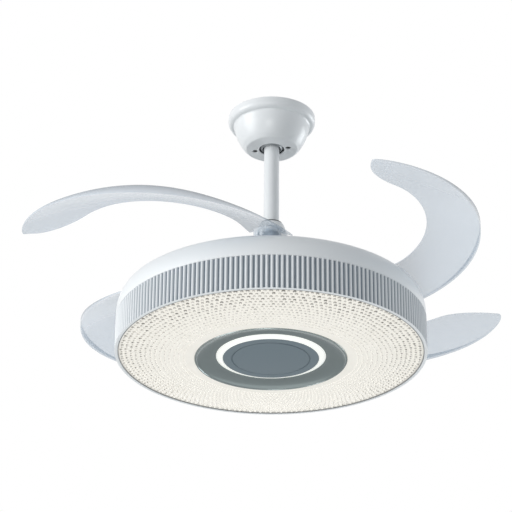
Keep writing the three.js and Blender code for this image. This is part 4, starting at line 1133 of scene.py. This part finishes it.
KEPT_FINISHES = {
    "zinc_steel": ("ceiling_bracket", "cross_pin", "rod_coupling", "coupling_pin", "motor_shaft", "lamp_flange",
                   "shaft_lock_nut", "bearing_lower", "bearing_upper"),
    "white_nylon": ("terminal_block", "sync_ring"),
    "shell_paint": ("blade_carrier", "motor_housing_lower", "motor_housing_upper", "lamp_deck"),
    "magnet": ("magnet_ring",),
    "core_sheets": ("stator_core",),
    "copper_wire": ("stator_winding",),
    "board_white": ("led_tray", "led_driver"),
}
KEPT_BLADE_FINISHES = {
    "zinc_steel": ("return_spring",),
    "bright_steel": ("pivot_bolt", "pivot_nut", "pivot_washer"),
    "white_nylon": ("blade_gear",),
}


class FAN_OT_inner_parts(bpy.types.Operator):
    """Gives the parts kept from the frame their finishes"""

    bl_idname = "fan.inner_parts"
    bl_label = "Inner parts"

    def execute(self, context):
        for finish, names in KEPT_FINISHES.items():
            self.paint(finish, names)
        for finish, names in KEPT_BLADE_FINISHES.items():
            self.paint(finish, [f"{name}_{number}" for name in names for number in BLADE_NUMBERS])
        return {"FINISHED"}

    def paint(self, finish, names):
        material = ringed_finish(finish) if finish in RINGED_FINISHES else plain_finish(finish)
        for name in names:
            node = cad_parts[name]
            for slot in node.material_slots:
                slot.material = material
            if not node.material_slots:
                node.data.materials.append(material)


# ------------ stage

# Each lamp by the name of its power: size, place, what it faces, colour
LAMPS = {
    "key": ((2.6, 2.6), (-3.75, -1.45, -0.1), (0, 0, -0.35), (1.0, 0.995, 0.985)),
    "rim": ((1.6, 2.2), (3.1, 2.0, -0.45), (0, 0, -0.35), (0.95, 0.98, 1.0)),
    "bounce": ((3.0, 3.0), (0, 0, -2.4), (0, 0, -0.4), (0.98, 0.99, 1.0)),
    "front": ((1.4, 0.7), (-0.5, -3.4, -1.3), (0, 0, -0.43), (1.0, 1.0, 0.99)),
}
FLOOR_REACH = 9.0
EVEN_LIGHT = (0.9, 0.95, 1.0, 1)
CAMERA_PLACE = (0, -3.068, -1.797)
CAMERA_YAW, CAMERA_PITCH, CAMERA_ROLL = -0.468, 26.577, 0.408  # degrees


class FAN_OT_stage(bpy.types.Operator):
    """Sets up the pale floor, the soft lights, the world and the camera"""

    bl_idname = "fan.stage"
    bl_label = "Stage"

    def execute(self, context):
        size = context.scene.fan_stage
        self.floor(size)
        self.world(size)
        for name, (extent, place, target, colour) in LAMPS.items():
            self.lamp(name, getattr(size, name), extent, place, target, colour)
        self.camera(size)
        context.scene.view_settings.view_transform = "Standard"
        return {"FINISHED"}

    def lamp(self, name, power, extent, place, target, colour):
        """Rectangular area lamp that faces a point."""
        light = bpy.data.lights.new(name, "AREA")
        light.energy = power
        light.shape = "RECTANGLE"
        light.size, light.size_y = extent
        light.color = colour
        lamp = link_object(name, light)
        lamp.location = place
        lamp.rotation_euler = (Vector(target) - Vector(place)).to_track_quat("-Z", "Y").to_euler()

    def floor(self, size):
        bm = bmesh.new()
        bm.faces.new([bm.verts.new((x * FLOOR_REACH, y * FLOOR_REACH, -size.floor_drop))
                      for x, y in ((-1, -1), (1, -1), (1, 1), (-1, 1))])
        floor = new_piece("floor", bm)
        floor.data.materials.append(new_material("pale floor", Roughness=0.85, Base_Color=srgb(232, 232, 230))[0])

    def world(self, size):
        """Even soft light, seen as plain white by the camera and in reflections."""
        world = bpy.data.worlds.new("studio")
        bpy.context.scene.world = world
        world.use_nodes = True
        tree = world.node_tree
        ray = add_node(tree, "ShaderNodeLightPath").outputs
        seen = reckon(tree, "MAXIMUM", ray["Is Camera Ray"], ray["Is Transmission Ray"])
        seen = reckon(tree, "MAXIMUM", seen, ray["Is Glossy Ray"])
        even = add_node(tree, "ShaderNodeBackground", {"Color": EVEN_LIGHT, "Strength": size.ambient})
        white = add_node(tree, "ShaderNodeBackground", {"Color": (1, 1, 1, 1), "Strength": 1.0})
        both = add_node(tree, "ShaderNodeMixShader", {"Fac": seen, 1: even.outputs[0], 2: white.outputs[0]})
        tree.links.new(both.outputs[0], tree.nodes["World Output"].inputs["Surface"])

    def camera(self, size):
        """Camera at the photograph's place and angle."""
        data = bpy.data.cameras.new("camera")
        data.sensor_width = 36.0
        data.lens = size.lens_mm
        data.clip_end = 50.0
        camera = link_object("camera", data)
        yaw, pitch, roll = (math.radians(a) for a in (CAMERA_YAW, CAMERA_PITCH, CAMERA_ROLL))
        ahead = Vector((math.sin(yaw) * math.cos(pitch), math.cos(yaw) * math.cos(pitch), math.sin(pitch)))
        right = Vector((math.cos(yaw), -math.sin(yaw), 0))
        up = right.cross(ahead)
        side = right * math.cos(roll) + up * math.sin(roll)
        over = up * math.cos(roll) - right * math.sin(roll)
        turn = Matrix((side, over, -ahead)).transposed()
        camera.matrix_world = Matrix.Translation(CAMERA_PLACE) @ turn.to_4x4()
        bpy.context.scene.camera = camera


# ------------ add-on


class FAN_PT_panel(bpy.types.Panel):
    """Sizes, colours and pieces of the fan"""

    bl_idname = "FAN_PT_panel"
    bl_label = "Folding Blade Ceiling Fan"
    bl_space_type = "VIEW_3D"
    bl_region_type = "UI"
    bl_category = "Fan"

    def draw(self, context):
        layout = self.layout
        for operator in OPERATORS:
            layout.operator(operator.bl_idname)
        for name, group in SETTINGS.items():
            box = layout.box()
            box.label(text=group.__doc__)
            for field in group.__annotations__:
                box.prop(getattr(context.scene, name), field)


OPERATORS = (FAN_OT_stage, FAN_OT_inner_parts, FAN_OT_canopy, FAN_OT_rod, FAN_OT_drum, FAN_OT_lens, FAN_OT_centre,
             FAN_OT_blades)


def register():
    for group in SETTINGS.values():
        bpy.utils.register_class(group)
    for name, group in SETTINGS.items():
        setattr(bpy.types.Scene, name, PointerProperty(type=group))
    for operator in (*OPERATORS, FAN_PT_panel):
        bpy.utils.register_class(operator)


def unregister():
    for operator in reversed((*OPERATORS, FAN_PT_panel)):
        bpy.utils.unregister_class(operator)
    for name in SETTINGS:
        delattr(bpy.types.Scene, name)
    for group in reversed(SETTINGS.values()):
        bpy.utils.unregister_class(group)


def main():
    register()
    for operator in OPERATORS:
        group, name = operator.bl_idname.split(".")
        getattr(getattr(bpy.ops, group), name)()


if __name__ == "__main__":
    main()
